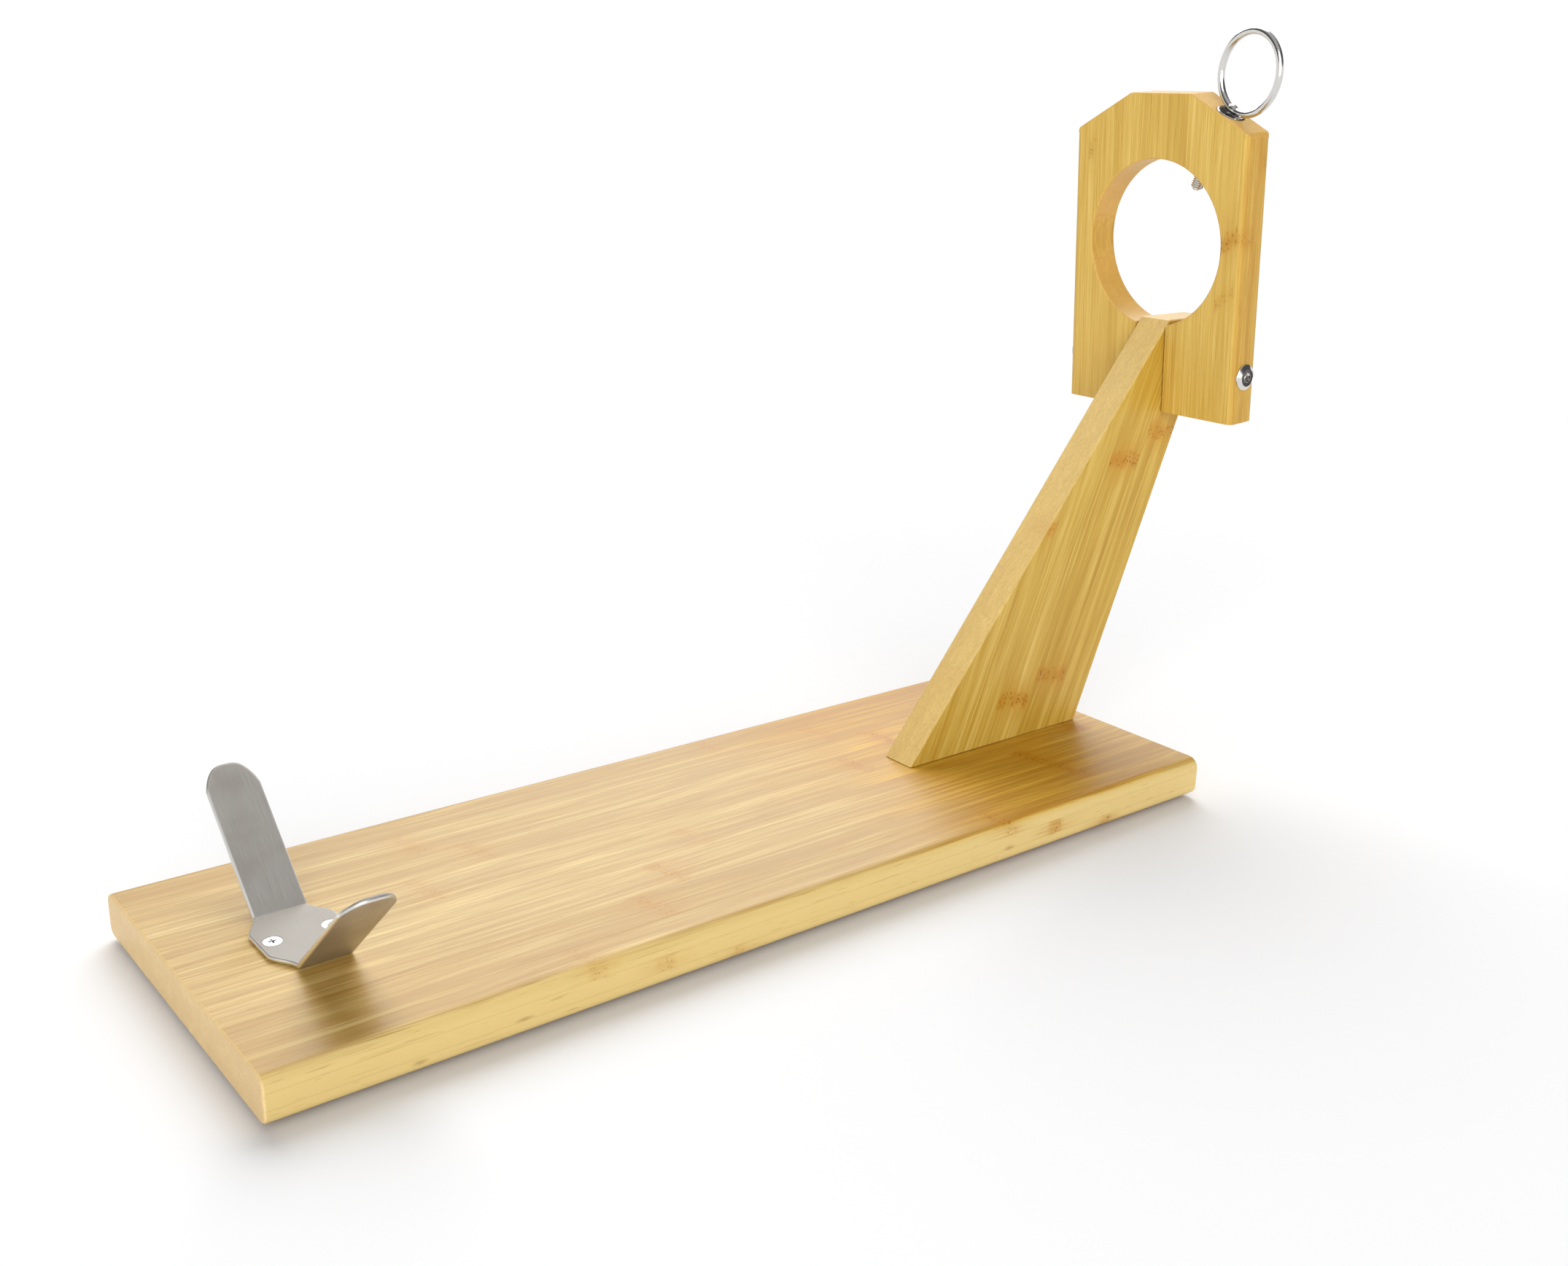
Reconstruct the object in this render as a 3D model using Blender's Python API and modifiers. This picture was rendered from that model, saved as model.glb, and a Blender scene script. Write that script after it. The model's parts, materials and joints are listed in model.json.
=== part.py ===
"""Ham holder stand: a bamboo board with a leaning post, a tilting ring-shaped head and a steel cradle.

The head is a thick fork-shaped plate that straddles the post and tilts on one long pivot bolt. A
screw with a pull ring comes in through the head's near shoulder and presses on the hock. The ham's
thick end lies in a folded steel cradle near the front end of the board.

Frame: metres, +Z up, +X along the board from the cradle to the post, +Y to the far side. The origin
is on the ground, at the middle of the overall length and width.
"""

import math

import bmesh
import bpy
from mathutils import Matrix, Vector

MM = 0.001
GAP = 0.3 * MM                # clearance kept between touching pieces

# Base board
BOARD_LENGTH = 450 * MM
BOARD_WIDTH = 156 * MM
BOARD_THICK = 18 * MM
BOARD_EDGE_R = 4.5 * MM       # rounding along the two long sides
FOOT_R = 8 * MM
FOOT_HEIGHT = 2 * MM
FOOT_INSET = 24 * MM

# Post, measured along X from the front end of the board and up from the board's underside
POST_THICK = 17.5 * MM
POST_FRONT_X = 331 * MM
POST_REAR_X = 439.5 * MM
POST_TOP_FRONT_X = 484.8 * MM
POST_TOP_REAR_X = 517.3 * MM
POST_TOP_Z = 211.2 * MM
POST_SCREW_X = (372 * MM, 412 * MM)
DOWEL_X = (350 * MM, 430 * MM)
DOWEL_R = 4 * MM
DOWEL_LENGTH = 22 * MM

# Tilting head, in its own frame: x through the plate, y across it, z up from the pivot
PIVOT_X = 490.4 * MM
PIVOT_Z = 189.4 * MM
HEAD_TILT = math.radians(-3.7)
HEAD_WIDTH = 101 * MM
HEAD_THICK = 16 * MM
HEAD_TOP = 125 * MM
HEAD_BOTTOM = -21.5 * MM
SHOULDER_ACROSS = 33 * MM
SHOULDER_DROP = 17.2 * MM
HOLE_R = 38.5 * MM
HOLE_Z = 57.3 * MM
SLOT_WIDTH = POST_THICK + 2 * GAP

# Pivot bolt and its cap nut
PIVOT_R = 3 * MM
PIVOT_FLANGE_R = 6 * MM
PIVOT_FLANGE_THICK = 2 * MM
CAP_NUT_R = 4.2 * MM
CAP_NUT_LENGTH = 36 * MM
BOLT_LENGTH = 80 * MM

# Clamp screw: distances along its axis are counted outwards from the shoulder face
SCREW_R = 3 * MM
SCREW_TOP = -0.3 * MM
SCREW_REACH = 38 * MM
INSERT_R = 4.7 * MM
INSERT_FLANGE_R = 6.5 * MM
INSERT_LENGTH = 15 * MM
INSERT_MOUTH_R = 5.2 * MM
INSERT_MOUTH_DEPTH = 2 * MM
RING_R = 17.5 * MM
RING_WIRE_R = 1.6 * MM
RING_CENTRE = 19.2 * MM
RING_TURN = math.radians(-7.3)
WELD_SWELL = 0.5              # how much thicker the wire is at the weld
WELD_REACH = 2.2 * MM         # along the wire

# Steel cradle
CRADLE_X = 45.5 * MM          # middle of the cradle, from the front end of the board
CRADLE_WIDTH = 20.8 * MM      # of each wing, along X
CRADLE_FLAT = 21.0 * MM       # half of the flat bottom, across the board
CRADLE_FLARE = 6 * MM         # how much further the bottom reaches at each end
CRADLE_THICK = 2 * MM
CRADLE_BEND_R = 2.4 * MM
WING_LEAN = math.radians(47.4)
WING_LENGTH = 64 * MM
WING_CORNER_DROP = 10.1 * MM
CRADLE_SCREW_SPACING = 22 * MM

FRONT = -POST_TOP_REAR_X / 2  # X of the board's front end
BOARD_Z = FOOT_HEIGHT         # height of the board's underside
SIDES = (("near", -1), ("far", 1))

BAMBOO = ("bamboo", (0.62, 0.38, 0.13), 0.45, 0.0)
STEEL = ("satin_steel", (0.55, 0.53, 0.50), 0.35, 1.0)
ZINC = ("polished_zinc", (0.75, 0.75, 0.76), 0.12, 1.0)
RUBBER = ("clear_rubber", (0.55, 0.55, 0.53), 0.6, 0.0)
BEECH = ("beech", (0.60, 0.42, 0.25), 0.6, 0.0)


def clear_scene():
    for obj in list(bpy.data.objects):
        bpy.data.objects.remove(obj, do_unlink=True)


def new_collection(name):
    made = bpy.data.collections.new(name)
    bpy.context.scene.collection.children.link(made)
    return made


def material(spec):
    """Principled material for (name, colour, roughness, metallic), made once."""
    name, colour, roughness, metallic = spec
    made = bpy.data.materials.get(name)
    if made is None:
        made = bpy.data.materials.new(name)
        made.use_nodes = True
        shader = made.node_tree.nodes["Principled BSDF"]
        shader.inputs["Base Color"].default_value = (*colour, 1)
        shader.inputs["Roughness"].default_value = roughness
        shader.inputs["Metallic"].default_value = metallic
        made.diffuse_color = (*colour, 1)
    return made


def place(obj, matrix, parent=None):
    """Puts an object at a matrix given in its parent's frame."""
    obj.parent = parent
    obj.matrix_local = matrix
    return obj


def add_part(name, mesh, spec, matrix=None, parent=None):
    obj = bpy.data.objects.new(name, mesh)
    PARTS.objects.link(obj)
    mesh.materials.clear()
    mesh.materials.append(material(spec))
    mesh.shade_smooth()
    mesh.set_sharp_from_angle(angle=math.radians(35))
    return place(obj, matrix or Matrix(), parent)


def add_cutter(name, mesh, matrix=None, parent=None):
    obj = bpy.data.objects.new(name, mesh)
    CUTTERS.objects.link(obj)
    obj.hide_render = True
    obj.display_type = "WIRE"
    return place(obj, matrix or Matrix(), parent)


def boolean(obj, other, operation="DIFFERENCE"):
    step = obj.modifiers.new(other.name, "BOOLEAN")
    step.operation = operation
    step.object = other
    step.solver = "EXACT"


def bevel(obj, width, segments=2, angle=50):
    step = obj.modifiers.new("rounding", "BEVEL")
    step.width = width
    step.segments = segments
    step.limit_method = "ANGLE"
    step.angle_limit = math.radians(angle)


def box_mesh(name, size):
    """A box centred on the origin."""
    shape = bmesh.new()
    bmesh.ops.create_cube(shape, size=1, matrix=Matrix.Diagonal((*size, 1)))
    mesh = bpy.data.meshes.new(name)
    shape.to_mesh(mesh)
    shape.free()
    return mesh


def rod_mesh(name, radius, low, high, sides=24, end_radius=None):
    """A cylinder, or a cone when end_radius is given, along Z from low to high."""
    shape = bmesh.new()
    bmesh.ops.create_cone(
        shape, cap_ends=True, segments=sides, radius1=radius,
        radius2=radius if end_radius is None else end_radius, depth=high - low,
        matrix=Matrix.Translation((0, 0, (low + high) / 2)),
    )
    mesh = bpy.data.meshes.new(name)
    shape.to_mesh(mesh)
    shape.free()
    return mesh


def profile_mesh(name, points, closed=False):
    """The edges of a profile in the XZ plane, as (radius, height), for a Screw modifier."""
    count = len(points)
    edges = [(i, i + 1) for i in range(count - 1)] + ([(count - 1, 0)] if closed else [])
    mesh = bpy.data.meshes.new(name)
    mesh.from_pydata([(r, 0, z) for r, z in points], edges, [])
    return mesh


def turned(name, points, spec, matrix, parent=None, closed=False, steps=32):
    """A turned piece: the profile runs down its outer side, top to bottom."""
    obj = add_part(name, profile_mesh(name, points, closed), spec, matrix, parent)
    screw = obj.modifiers.new("turn", "SCREW")
    screw.axis = "Z"
    screw.angle = math.tau
    screw.steps = screw.render_steps = steps
    screw.use_merge_vertices = True
    screw.merge_threshold = 1e-5
    screw.use_smooth_shade = True
    return obj


def outline_mesh(name, points, thick):
    """A flat outline (x, y) filled and extruded to a thickness about its plane, as one closed mesh."""
    curve = bpy.data.curves.new(name, "CURVE")
    curve.dimensions = "2D"
    curve.fill_mode = "BOTH"
    curve.extrude = thick / 2
    spline = curve.splines.new("POLY")
    spline.points.add(len(points) - 1)
    for point, (x, y) in zip(spline.points, points):
        point.co = (x, y, 0, 1)
    spline.use_cyclic_u = True
    holder = bpy.data.objects.new(name + "_outline", curve)
    CUTTERS.objects.link(holder)
    bpy.context.view_layer.update()
    graph = bpy.context.evaluated_depsgraph_get()
    mesh = bpy.data.meshes.new_from_object(holder.evaluated_get(graph))
    bpy.data.objects.remove(holder, do_unlink=True)
    shape = bmesh.new()
    shape.from_mesh(mesh)
    bmesh.ops.remove_doubles(shape, verts=shape.verts, dist=1e-6)
    bmesh.ops.recalc_face_normals(shape, faces=shape.faces)
    shape.to_mesh(mesh)
    shape.free()
    mesh.name = name
    return mesh


def arc(centre, radius, start, end, steps):
    """Points of an arc about a centre, from one angle to another, in radians."""
    turn = (end - start) / steps
    return [
        (centre[0] + radius * math.cos(start + i * turn), centre[1] + radius * math.sin(start + i * turn))
        for i in range(steps + 1)
    ]


def at(x, y, z):
    """A place given from the board's front end, its middle line and its underside."""
    return Matrix.Translation((FRONT + x, y, BOARD_Z + z))


def countersunk_screw(name, matrix, head_r, shank_r, head_deep, length, spec=ZINC):
    """A wood screw along -Z whose flat head is at the frame's origin, with a pointed end."""
    points = [
        (0, 0), (head_r, 0), (head_r, -0.2 * head_deep), (shank_r, -head_deep),
        (shank_r, -length + 2 * shank_r), (0, -length),
    ]
    screw = turned(name, points, spec, matrix, steps=24)
    socket = rod_mesh(name + "_drive", 0.28 * head_r, -0.55 * head_deep, GAP, 4)
    boolean(screw, add_cutter(name + "_drive", socket, matrix))
    return screw


def make_board():
    """The board: long sides rounded, ends left nearly square, bored for its screws and dowels."""
    shape = bmesh.new()
    size = (BOARD_LENGTH, BOARD_WIDTH, BOARD_THICK, 1)
    bmesh.ops.create_cube(shape, size=1, matrix=Matrix.Diagonal(size))
    long_edges = [e for e in shape.edges if abs(e.verts[0].co.x - e.verts[1].co.x) > BOARD_LENGTH / 2]
    bmesh.ops.bevel(shape, geom=long_edges, offset=BOARD_EDGE_R, segments=5, profile=0.5, affect="EDGES")
    mesh = bpy.data.meshes.new("base_board")
    shape.to_mesh(mesh)
    shape.free()
    board = add_part("base_board", mesh, BAMBOO, at(BOARD_LENGTH / 2, 0, BOARD_THICK / 2))
    bevel(board, 1.2 * MM)
    for i, x in enumerate(POST_SCREW_X):
        bore = rod_mesh("board_bore", 2.8 * MM, -1 * MM, BOARD_THICK + 1 * MM)
        boolean(board, add_cutter("board_screw_bore_%d" % i, bore, at(x, 0, 0)))
        sink = rod_mesh("board_sink", 7.2 * MM, -1 * MM, 4.2 * MM, end_radius=2.7 * MM)
        boolean(board, add_cutter("board_screw_sink_%d" % i, sink, at(x, 0, 0)))
    for i, x in enumerate(DOWEL_X):
        floor = BOARD_THICK - DOWEL_LENGTH / 2 - GAP
        bore = rod_mesh("board_dowel", DOWEL_R + GAP, floor, BOARD_THICK + 1 * MM)
        boolean(board, add_cutter("board_dowel_bore_%d" % i, bore, at(x, 0, 0)))
    for i, side in enumerate((-1, 1)):
        bore = rod_mesh("board_pilot", 2.1 * MM, 3 * MM, BOARD_THICK + 1 * MM, 20)
        x = CRADLE_X + side * CRADLE_SCREW_SPACING / 2
        boolean(board, add_cutter("board_cradle_bore_%d" % i, bore, at(x, 0, 0)))


def make_feet():
    """Four thin anti-slip pads under the corners of the board."""
    radius, high = FOOT_R, FOOT_HEIGHT - GAP
    points = [(0, high), (radius, high), (radius, 0.5 * MM), (radius - 0.5 * MM, 0), (0, 0)]
    for end, x in (("front", FOOT_INSET), ("rear", BOARD_LENGTH - FOOT_INSET)):
        for side, sign in SIDES:
            y = sign * (BOARD_WIDTH / 2 - FOOT_INSET)
            turned("foot_%s_%s" % (end, side), points, RUBBER, Matrix.Translation((FRONT + x, y, 0)))


def make_post():
    """The leaning post: a four-sided outline in the XZ plane, wide at the board and narrow at the top."""
    low = BOARD_THICK + GAP
    outline = [
        (POST_FRONT_X, low), (POST_REAR_X, low),
        (POST_TOP_REAR_X, POST_TOP_Z), (POST_TOP_FRONT_X, POST_TOP_Z),
    ]
    upright = at(0, 0, 0) @ Matrix.Rotation(math.pi / 2, 4, "X")
    post = add_part("post", outline_mesh("post", outline, POST_THICK), BAMBOO, upright)
    bevel(post, 0.8 * MM, angle=30)
    across = at(PIVOT_X, 0, PIVOT_Z) @ Matrix.Rotation(math.pi / 2, 4, "X")
    pivot_bore = rod_mesh("post_pivot_bore", PIVOT_R + GAP, -POST_THICK, POST_THICK)
    boolean(post, add_cutter("post_pivot_bore", pivot_bore, across))
    for i, x in enumerate(POST_SCREW_X):
        bore = rod_mesh("post_screw_bore", 2.8 * MM, 10 * MM, 52 * MM)
        boolean(post, add_cutter("post_screw_bore_%d" % i, bore, at(x, 0, 0)))
    for i, x in enumerate(DOWEL_X):
        bore = rod_mesh("post_dowel_bore", DOWEL_R + GAP, 10 * MM, BOARD_THICK + DOWEL_LENGTH / 2 + GAP)
        boolean(post, add_cutter("post_dowel_bore_%d" % i, bore, at(x, 0, 0)))


def make_post_fixings():
    """Two countersunk screws from below and two wooden dowels hold the post on the board."""
    upside_down = Matrix.Rotation(math.pi, 4, "X")
    for name, x in zip(("front", "rear"), POST_SCREW_X):
        matrix = at(x, 0, 0.6 * MM) @ upside_down
        countersunk_screw("post_screw_" + name, matrix, 4.8 * MM, 2.5 * MM, 3 * MM, 50 * MM)
    half = DOWEL_LENGTH / 2
    points = [
        (0, half), (DOWEL_R - 0.8 * MM, half), (DOWEL_R, half - 0.8 * MM),
        (DOWEL_R, -half + 0.8 * MM), (DOWEL_R - 0.8 * MM, -half), (0, -half),
    ]
    for name, x in zip(("front", "rear"), DOWEL_X):
        turned("post_dowel_" + name, points, BEECH, at(x, 0, BOARD_THICK), steps=24)


def head_outline():
    """The fork-shaped plate as (across, up): legs, slot, round hole and two sloping shoulders."""
    half, slot = HEAD_WIDTH / 2, SLOT_WIDTH / 2
    reach = math.asin(slot / HOLE_R)
    hole = arc((0, HOLE_Z), HOLE_R, -math.pi / 2 + reach, 1.5 * math.pi - reach, 64)
    return [
        (half, HEAD_BOTTOM), (half, HEAD_TOP - SHOULDER_DROP), (half - SHOULDER_ACROSS, HEAD_TOP),
        (-half + SHOULDER_ACROSS, HEAD_TOP), (-half, HEAD_TOP - SHOULDER_DROP), (-half, HEAD_BOTTOM),
        (-slot, HEAD_BOTTOM), *reversed(hole), (slot, HEAD_BOTTOM),
    ]


def make_head(pivot):
    """The head plate, bored across for the pivot and through its near shoulder for the clamp screw."""
    stand_up = Matrix(((0, 0, 1, 0), (1, 0, 0, 0), (0, 1, 0, 0), (0, 0, 0, 1)))
    plate = outline_mesh("head_plate", head_outline(), HEAD_THICK)
    head = add_part("head_plate", plate, BAMBOO, stand_up, pivot)
    bevel(head, 0.8 * MM)
    along_y = Matrix.Rotation(math.pi / 2, 4, "X")
    near_bore = rod_mesh("head_bolt_bore", PIVOT_R + GAP, 0, HEAD_WIDTH / 2 + 1 * MM)
    boolean(head, add_cutter("head_bolt_bore", near_bore, along_y, pivot))
    far_bore = rod_mesh("head_nut_bore", CAP_NUT_R + GAP, -HEAD_WIDTH / 2 - 1 * MM, 0)
    boolean(head, add_cutter("head_nut_bore", far_bore, along_y, pivot))


def make_pivot(pivot):
    """A flanged bolt from the near side, screwed into a flanged cap nut from the far side."""
    face = HEAD_WIDTH / 2 + GAP
    top = face + PIVOT_FLANGE_THICK
    rim = PIVOT_FLANGE_R
    flange = [(0.66 * rim, top), (rim - 0.3 * MM, face + 0.6 * MM), (rim, face)]
    towards_near = Matrix.Rotation(math.pi / 2, 4, "X")
    towards_far = Matrix.Rotation(-math.pi / 2, 4, "X")
    bolt_end = face - BOLT_LENGTH
    bolt_points = [
        (0, top), *flange, (PIVOT_R, face),
        (PIVOT_R, bolt_end + 1 * MM), (PIVOT_R - 1 * MM, bolt_end), (0, bolt_end),
    ]
    bolt = turned("pivot_bolt", bolt_points, ZINC, towards_near, pivot)
    bore_r, nut_end = PIVOT_R + GAP, face - CAP_NUT_LENGTH
    nut_points = [
        (0, top), *flange, (CAP_NUT_R, face), (CAP_NUT_R, nut_end), (bore_r, nut_end),
        (bore_r, face - 4 * MM), (0, face - 4 * MM),
    ]
    nut = turned("pivot_cap_nut", nut_points, ZINC, towards_far, pivot)
    for piece, matrix in ((bolt, towards_near), (nut, towards_far)):
        socket = rod_mesh(piece.name + "_socket", 2.2 * MM, top - 2.6 * MM, top + 1 * MM, 6)
        boolean(piece, add_cutter(piece.name + "_socket", socket, matrix, pivot))


def ring_mesh():
    """A wire ring about Z, thickened where it is welded to the screw, on its +X side."""
    bpy.ops.mesh.primitive_torus_add(
        major_radius=RING_R, minor_radius=RING_WIRE_R, major_segments=60, minor_segments=12,
    )
    torus = bpy.context.object
    mesh = torus.data
    bpy.data.objects.remove(torus, do_unlink=True)
    for vert in mesh.vertices:
        outwards = Vector((vert.co.x, vert.co.y, 0)).normalized()
        swell = WELD_SWELL * math.exp(-(RING_R * math.atan2(vert.co.y, vert.co.x) / WELD_REACH) ** 2)
        across = vert.co.dot(outwards) - RING_R
        if across < 0:
            vert.co += outwards * across * swell
        vert.co.z *= 1 + swell
    mesh.name = "pull_ring"
    return mesh


def make_clamp(pivot):
    """The flanged threaded insert, the clamp screw and its pull ring, on the near shoulder's axis."""
    slope = math.atan2(SHOULDER_DROP, SHOULDER_ACROSS)
    middle = Vector((0, -(HEAD_WIDTH - SHOULDER_ACROSS) / 2, HEAD_TOP - SHOULDER_DROP / 2))
    axis = Matrix.Translation(middle) @ Matrix.Rotation(slope, 4, "X")
    head = bpy.data.objects["head_plate"]
    for name, radius, low, high in (
        ("clamp_through_bore", SCREW_R + GAP, -HOLE_R, 1 * MM),
        ("clamp_insert_bore", INSERT_R + GAP, -INSERT_LENGTH - GAP, 1 * MM),
        ("clamp_flange_bore", INSERT_FLANGE_R + GAP, -1 * MM, 1 * MM),
    ):
        boolean(head, add_cutter(name, rod_mesh(name, radius, low, high, 32), axis, pivot))
    bore_r = SCREW_R + GAP
    top, seat = 0.4 * MM, -1 * MM + GAP
    points = [
        (INSERT_FLANGE_R - 0.4 * MM, top), (INSERT_FLANGE_R, top - 0.4 * MM), (INSERT_FLANGE_R, seat),
        (INSERT_R, seat), (INSERT_R, -INSERT_LENGTH), (bore_r, -INSERT_LENGTH),
        (bore_r, -INSERT_MOUTH_DEPTH), (INSERT_MOUTH_R, top),
    ]
    turned("threaded_insert", points, ZINC, axis, pivot, closed=True)
    points = [
        (0, SCREW_TOP), (SCREW_R - 0.5 * MM, SCREW_TOP), (SCREW_R, SCREW_TOP - 0.5 * MM),
        (SCREW_R, -SCREW_REACH + 3 * MM), (1.2 * MM, -SCREW_REACH), (0, -SCREW_REACH),
    ]
    turned("clamp_screw", points, ZINC, axis, pivot)
    ring_frame = axis @ Matrix.Translation((0, 0, RING_CENTRE)) @ Matrix.Rotation(RING_TURN, 4, "Z")
    lay = Matrix.Rotation(math.pi / 2, 4, "Y")
    add_part("pull_ring", ring_mesh(), ZINC, ring_frame @ lay, pivot)


def between(start, end, steps):
    """Evenly spaced stations after start, up to and with end."""
    return [start + (end - start) * i / steps for i in range(1, steps + 1)]


def cradle_length(across):
    """Developed length of the strip from its middle to its end, for a place across it from -1 to 1."""
    wing = WING_LENGTH - WING_CORNER_DROP * abs(across) ** 3.1
    return CRADLE_FLAT + wing


def cradle_half_width(along):
    """Half of the strip's width along X at a developed distance from its middle, with a smooth flare."""
    share = min(max((CRADLE_FLAT - abs(along)) / (0.62 * CRADLE_FLAT), 0), 1)
    return CRADLE_WIDTH / 2 + CRADLE_FLARE * share * share * (3 - 2 * share)


def cradle_point(along):
    """(y, z) of the strip's underside at a developed distance: flat, then a bend, then a straight wing."""
    sign, distance = (1 if along >= 0 else -1), abs(along)
    turn = math.pi / 2 - WING_LEAN
    start = CRADLE_FLAT - CRADLE_BEND_R * math.tan(turn / 2)
    bend = CRADLE_BEND_R * turn
    if distance <= start:
        return sign * distance, 0
    if distance <= start + bend:
        a = (distance - start) / CRADLE_BEND_R
        return sign * (start + CRADLE_BEND_R * math.sin(a)), CRADLE_BEND_R * (1 - math.cos(a))
    rest = distance - start - bend
    y = start + CRADLE_BEND_R * math.sin(turn) + rest * math.cos(turn)
    return sign * y, CRADLE_BEND_R * (1 - math.cos(turn)) + rest * math.sin(turn)


def make_cradle():
    """A sheet strip folded into a flat-bottomed V, thickened inwards, with two countersunk holes."""
    across = [-1, -0.93, -0.8, -0.6, -0.3, 0, 0.3, 0.6, 0.8, 0.93, 1]
    bend_end = CRADLE_FLAT + CRADLE_BEND_R
    shape = bmesh.new()
    rows = []
    for t in across:
        half = [*between(0, 0.9 * CRADLE_FLAT, 10), *between(0.9 * CRADLE_FLAT, bend_end, 4)]
        half += between(bend_end, cradle_length(t), 4)
        stations = [-s for s in reversed(half)] + [0] + half
        rows.append([
            shape.verts.new((t * cradle_half_width(s), *cradle_point(s))) for s in stations
        ])
    for row, following in zip(rows, rows[1:]):
        for i in range(len(row) - 1):
            shape.faces.new((row[i], following[i], following[i + 1], row[i + 1]))
    mesh = bpy.data.meshes.new("cradle")
    shape.to_mesh(mesh)
    shape.free()
    cradle = add_part("cradle", mesh, STEEL, at(CRADLE_X, 0, BOARD_THICK + GAP))
    wall = cradle.modifiers.new("sheet", "SOLIDIFY")
    wall.thickness = CRADLE_THICK
    wall.offset = 1
    wall.use_even_offset = True
    low = BOARD_THICK + GAP
    top = low + CRADLE_THICK
    for name, side in (("front", -1), ("rear", 1)):
        x = CRADLE_X + side * CRADLE_SCREW_SPACING / 2
        hole = rod_mesh("cradle_hole", 2.1 * MM, low - 1 * MM, top + 0.5 * MM, 24, end_radius=4.2 * MM)
        boolean(cradle, add_cutter("cradle_hole_" + name, hole, at(x, 0, 0)))
        matrix = at(x, 0, top - 0.1 * MM)
        countersunk_screw("cradle_screw_" + name, matrix, 3.5 * MM, 1.75 * MM, 2.2 * MM, 15 * MM)


def build():
    make_board()
    make_feet()
    make_post()
    make_post_fixings()
    make_cradle()
    pivot = bpy.data.objects.new("head_pivot", None)
    PARTS.objects.link(pivot)
    place(pivot, at(PIVOT_X, 0, PIVOT_Z) @ Matrix.Rotation(HEAD_TILT, 4, "Y"))
    make_head(pivot)
    make_pivot(pivot)
    make_clamp(pivot)


clear_scene()
PARTS = new_collection("ham_holder_stand")
CUTTERS = new_collection("cutters")
build()
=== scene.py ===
"""Looks of the ham holder stand: laminated bamboo, a satin steel cradle and bright plated hardware.

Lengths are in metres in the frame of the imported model: +X from the cradle to the post, +Y to the far
side, +Z up. Every piece is worked out on a grid of points and sits at the origin.
"""

import json
import math

import bmesh
import bpy
import numpy as np
from mathutils import Matrix, Vector


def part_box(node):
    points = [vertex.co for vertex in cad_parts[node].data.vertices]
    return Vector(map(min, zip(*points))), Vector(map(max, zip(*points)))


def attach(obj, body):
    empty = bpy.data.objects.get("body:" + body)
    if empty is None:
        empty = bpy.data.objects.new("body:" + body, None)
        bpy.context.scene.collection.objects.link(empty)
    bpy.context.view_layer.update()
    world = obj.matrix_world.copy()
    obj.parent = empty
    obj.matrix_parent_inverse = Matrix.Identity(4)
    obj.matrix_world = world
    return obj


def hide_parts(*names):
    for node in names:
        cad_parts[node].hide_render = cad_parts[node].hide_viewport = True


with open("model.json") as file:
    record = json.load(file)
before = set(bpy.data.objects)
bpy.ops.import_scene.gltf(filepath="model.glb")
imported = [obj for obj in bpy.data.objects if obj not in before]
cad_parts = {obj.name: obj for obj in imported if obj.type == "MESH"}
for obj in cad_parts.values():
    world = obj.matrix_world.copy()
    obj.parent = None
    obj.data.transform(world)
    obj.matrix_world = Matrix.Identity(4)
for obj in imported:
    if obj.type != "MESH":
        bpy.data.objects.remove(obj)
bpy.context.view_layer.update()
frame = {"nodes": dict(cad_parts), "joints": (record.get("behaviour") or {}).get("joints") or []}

MM = 0.001
GAP = 0.3 * MM

JOINTS = {joint["name"]: joint for joint in frame["joints"]}
BOARD_LOW, BOARD_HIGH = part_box("base_board")
FRONT = BOARD_LOW.x
BOARD_TOP = BOARD_HIGH.z
BOARD_WIDTH = BOARD_HIGH.y - BOARD_LOW.y

# Post: outline in the XZ plane, measured from the board's front end and underside
POST_THICK = 17.5 * MM
POST_OUTLINE = ((331, 18.3), (439.5, 18.3), (517.3, 211.2), (484.8, 211.2))
POST_GRAIN = math.radians(68.1)
POST_SCREWS = (372, 412)
POST_EDGE_R = 0.8 * MM

# Head plate: across and up from the pivot
HEAD_TILT = math.radians(-3.7)
HEAD_HALF = 50.5 * MM
HEAD_THICK = 16 * MM
HEAD_TOP = 125 * MM
HEAD_BOTTOM = -21.5 * MM
SHOULDER = (33 * MM, 17.2 * MM)
HOLE_R = 38.5 * MM
HOLE_UP = 57.3 * MM
HEAD_EDGE_R = 0.8 * MM
HEAD_SIDE_EDGE_R = 3 * MM
SLOT_HALF = POST_THICK / 2 + GAP
PIVOT = Vector(JOINTS["head_tilt"]["pos_m"])

# Bolt and cap nut, in mm from the pivot: their flanges lie on the head's two sides
FLANGE_FACE = HEAD_HALF / MM + 0.05

# Clamp screw: along the axis of its joint, outwards from the shoulder
CLAMP_AT = Vector(JOINTS["ring_turn"]["pos_m"])
CLAMP_AXIS = Vector(JOINTS["ring_turn"]["axis"]).normalized()
RING_R = 17.5 * MM
WIRE_R = 1.6 * MM
RING_OUT = 19.2 * MM
RING_TURN = math.radians(-7.3)

# Cradle
CRADLE_X = 45.5 * MM
CRADLE_HALF = 10.4 * MM
CRADLE_FLAT = 21 * MM
CRADLE_FLARE = 6 * MM
CRADLE_THICK = 2 * MM
CRADLE_BEND_R = 2.4 * MM
WING_LEAN = math.radians(47.4)
WING_LENGTH = 64 * MM
WING_BOW = 10.1 * MM
WING_BOW_POWER = 3.1
CRADLE_SCREW_OFF = 11 * MM
CRADLE_SEAT = np.array((FRONT + CRADLE_X, 0, BOARD_TOP + GAP))


# ---------------------------------------------------------------- meshes

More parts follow.
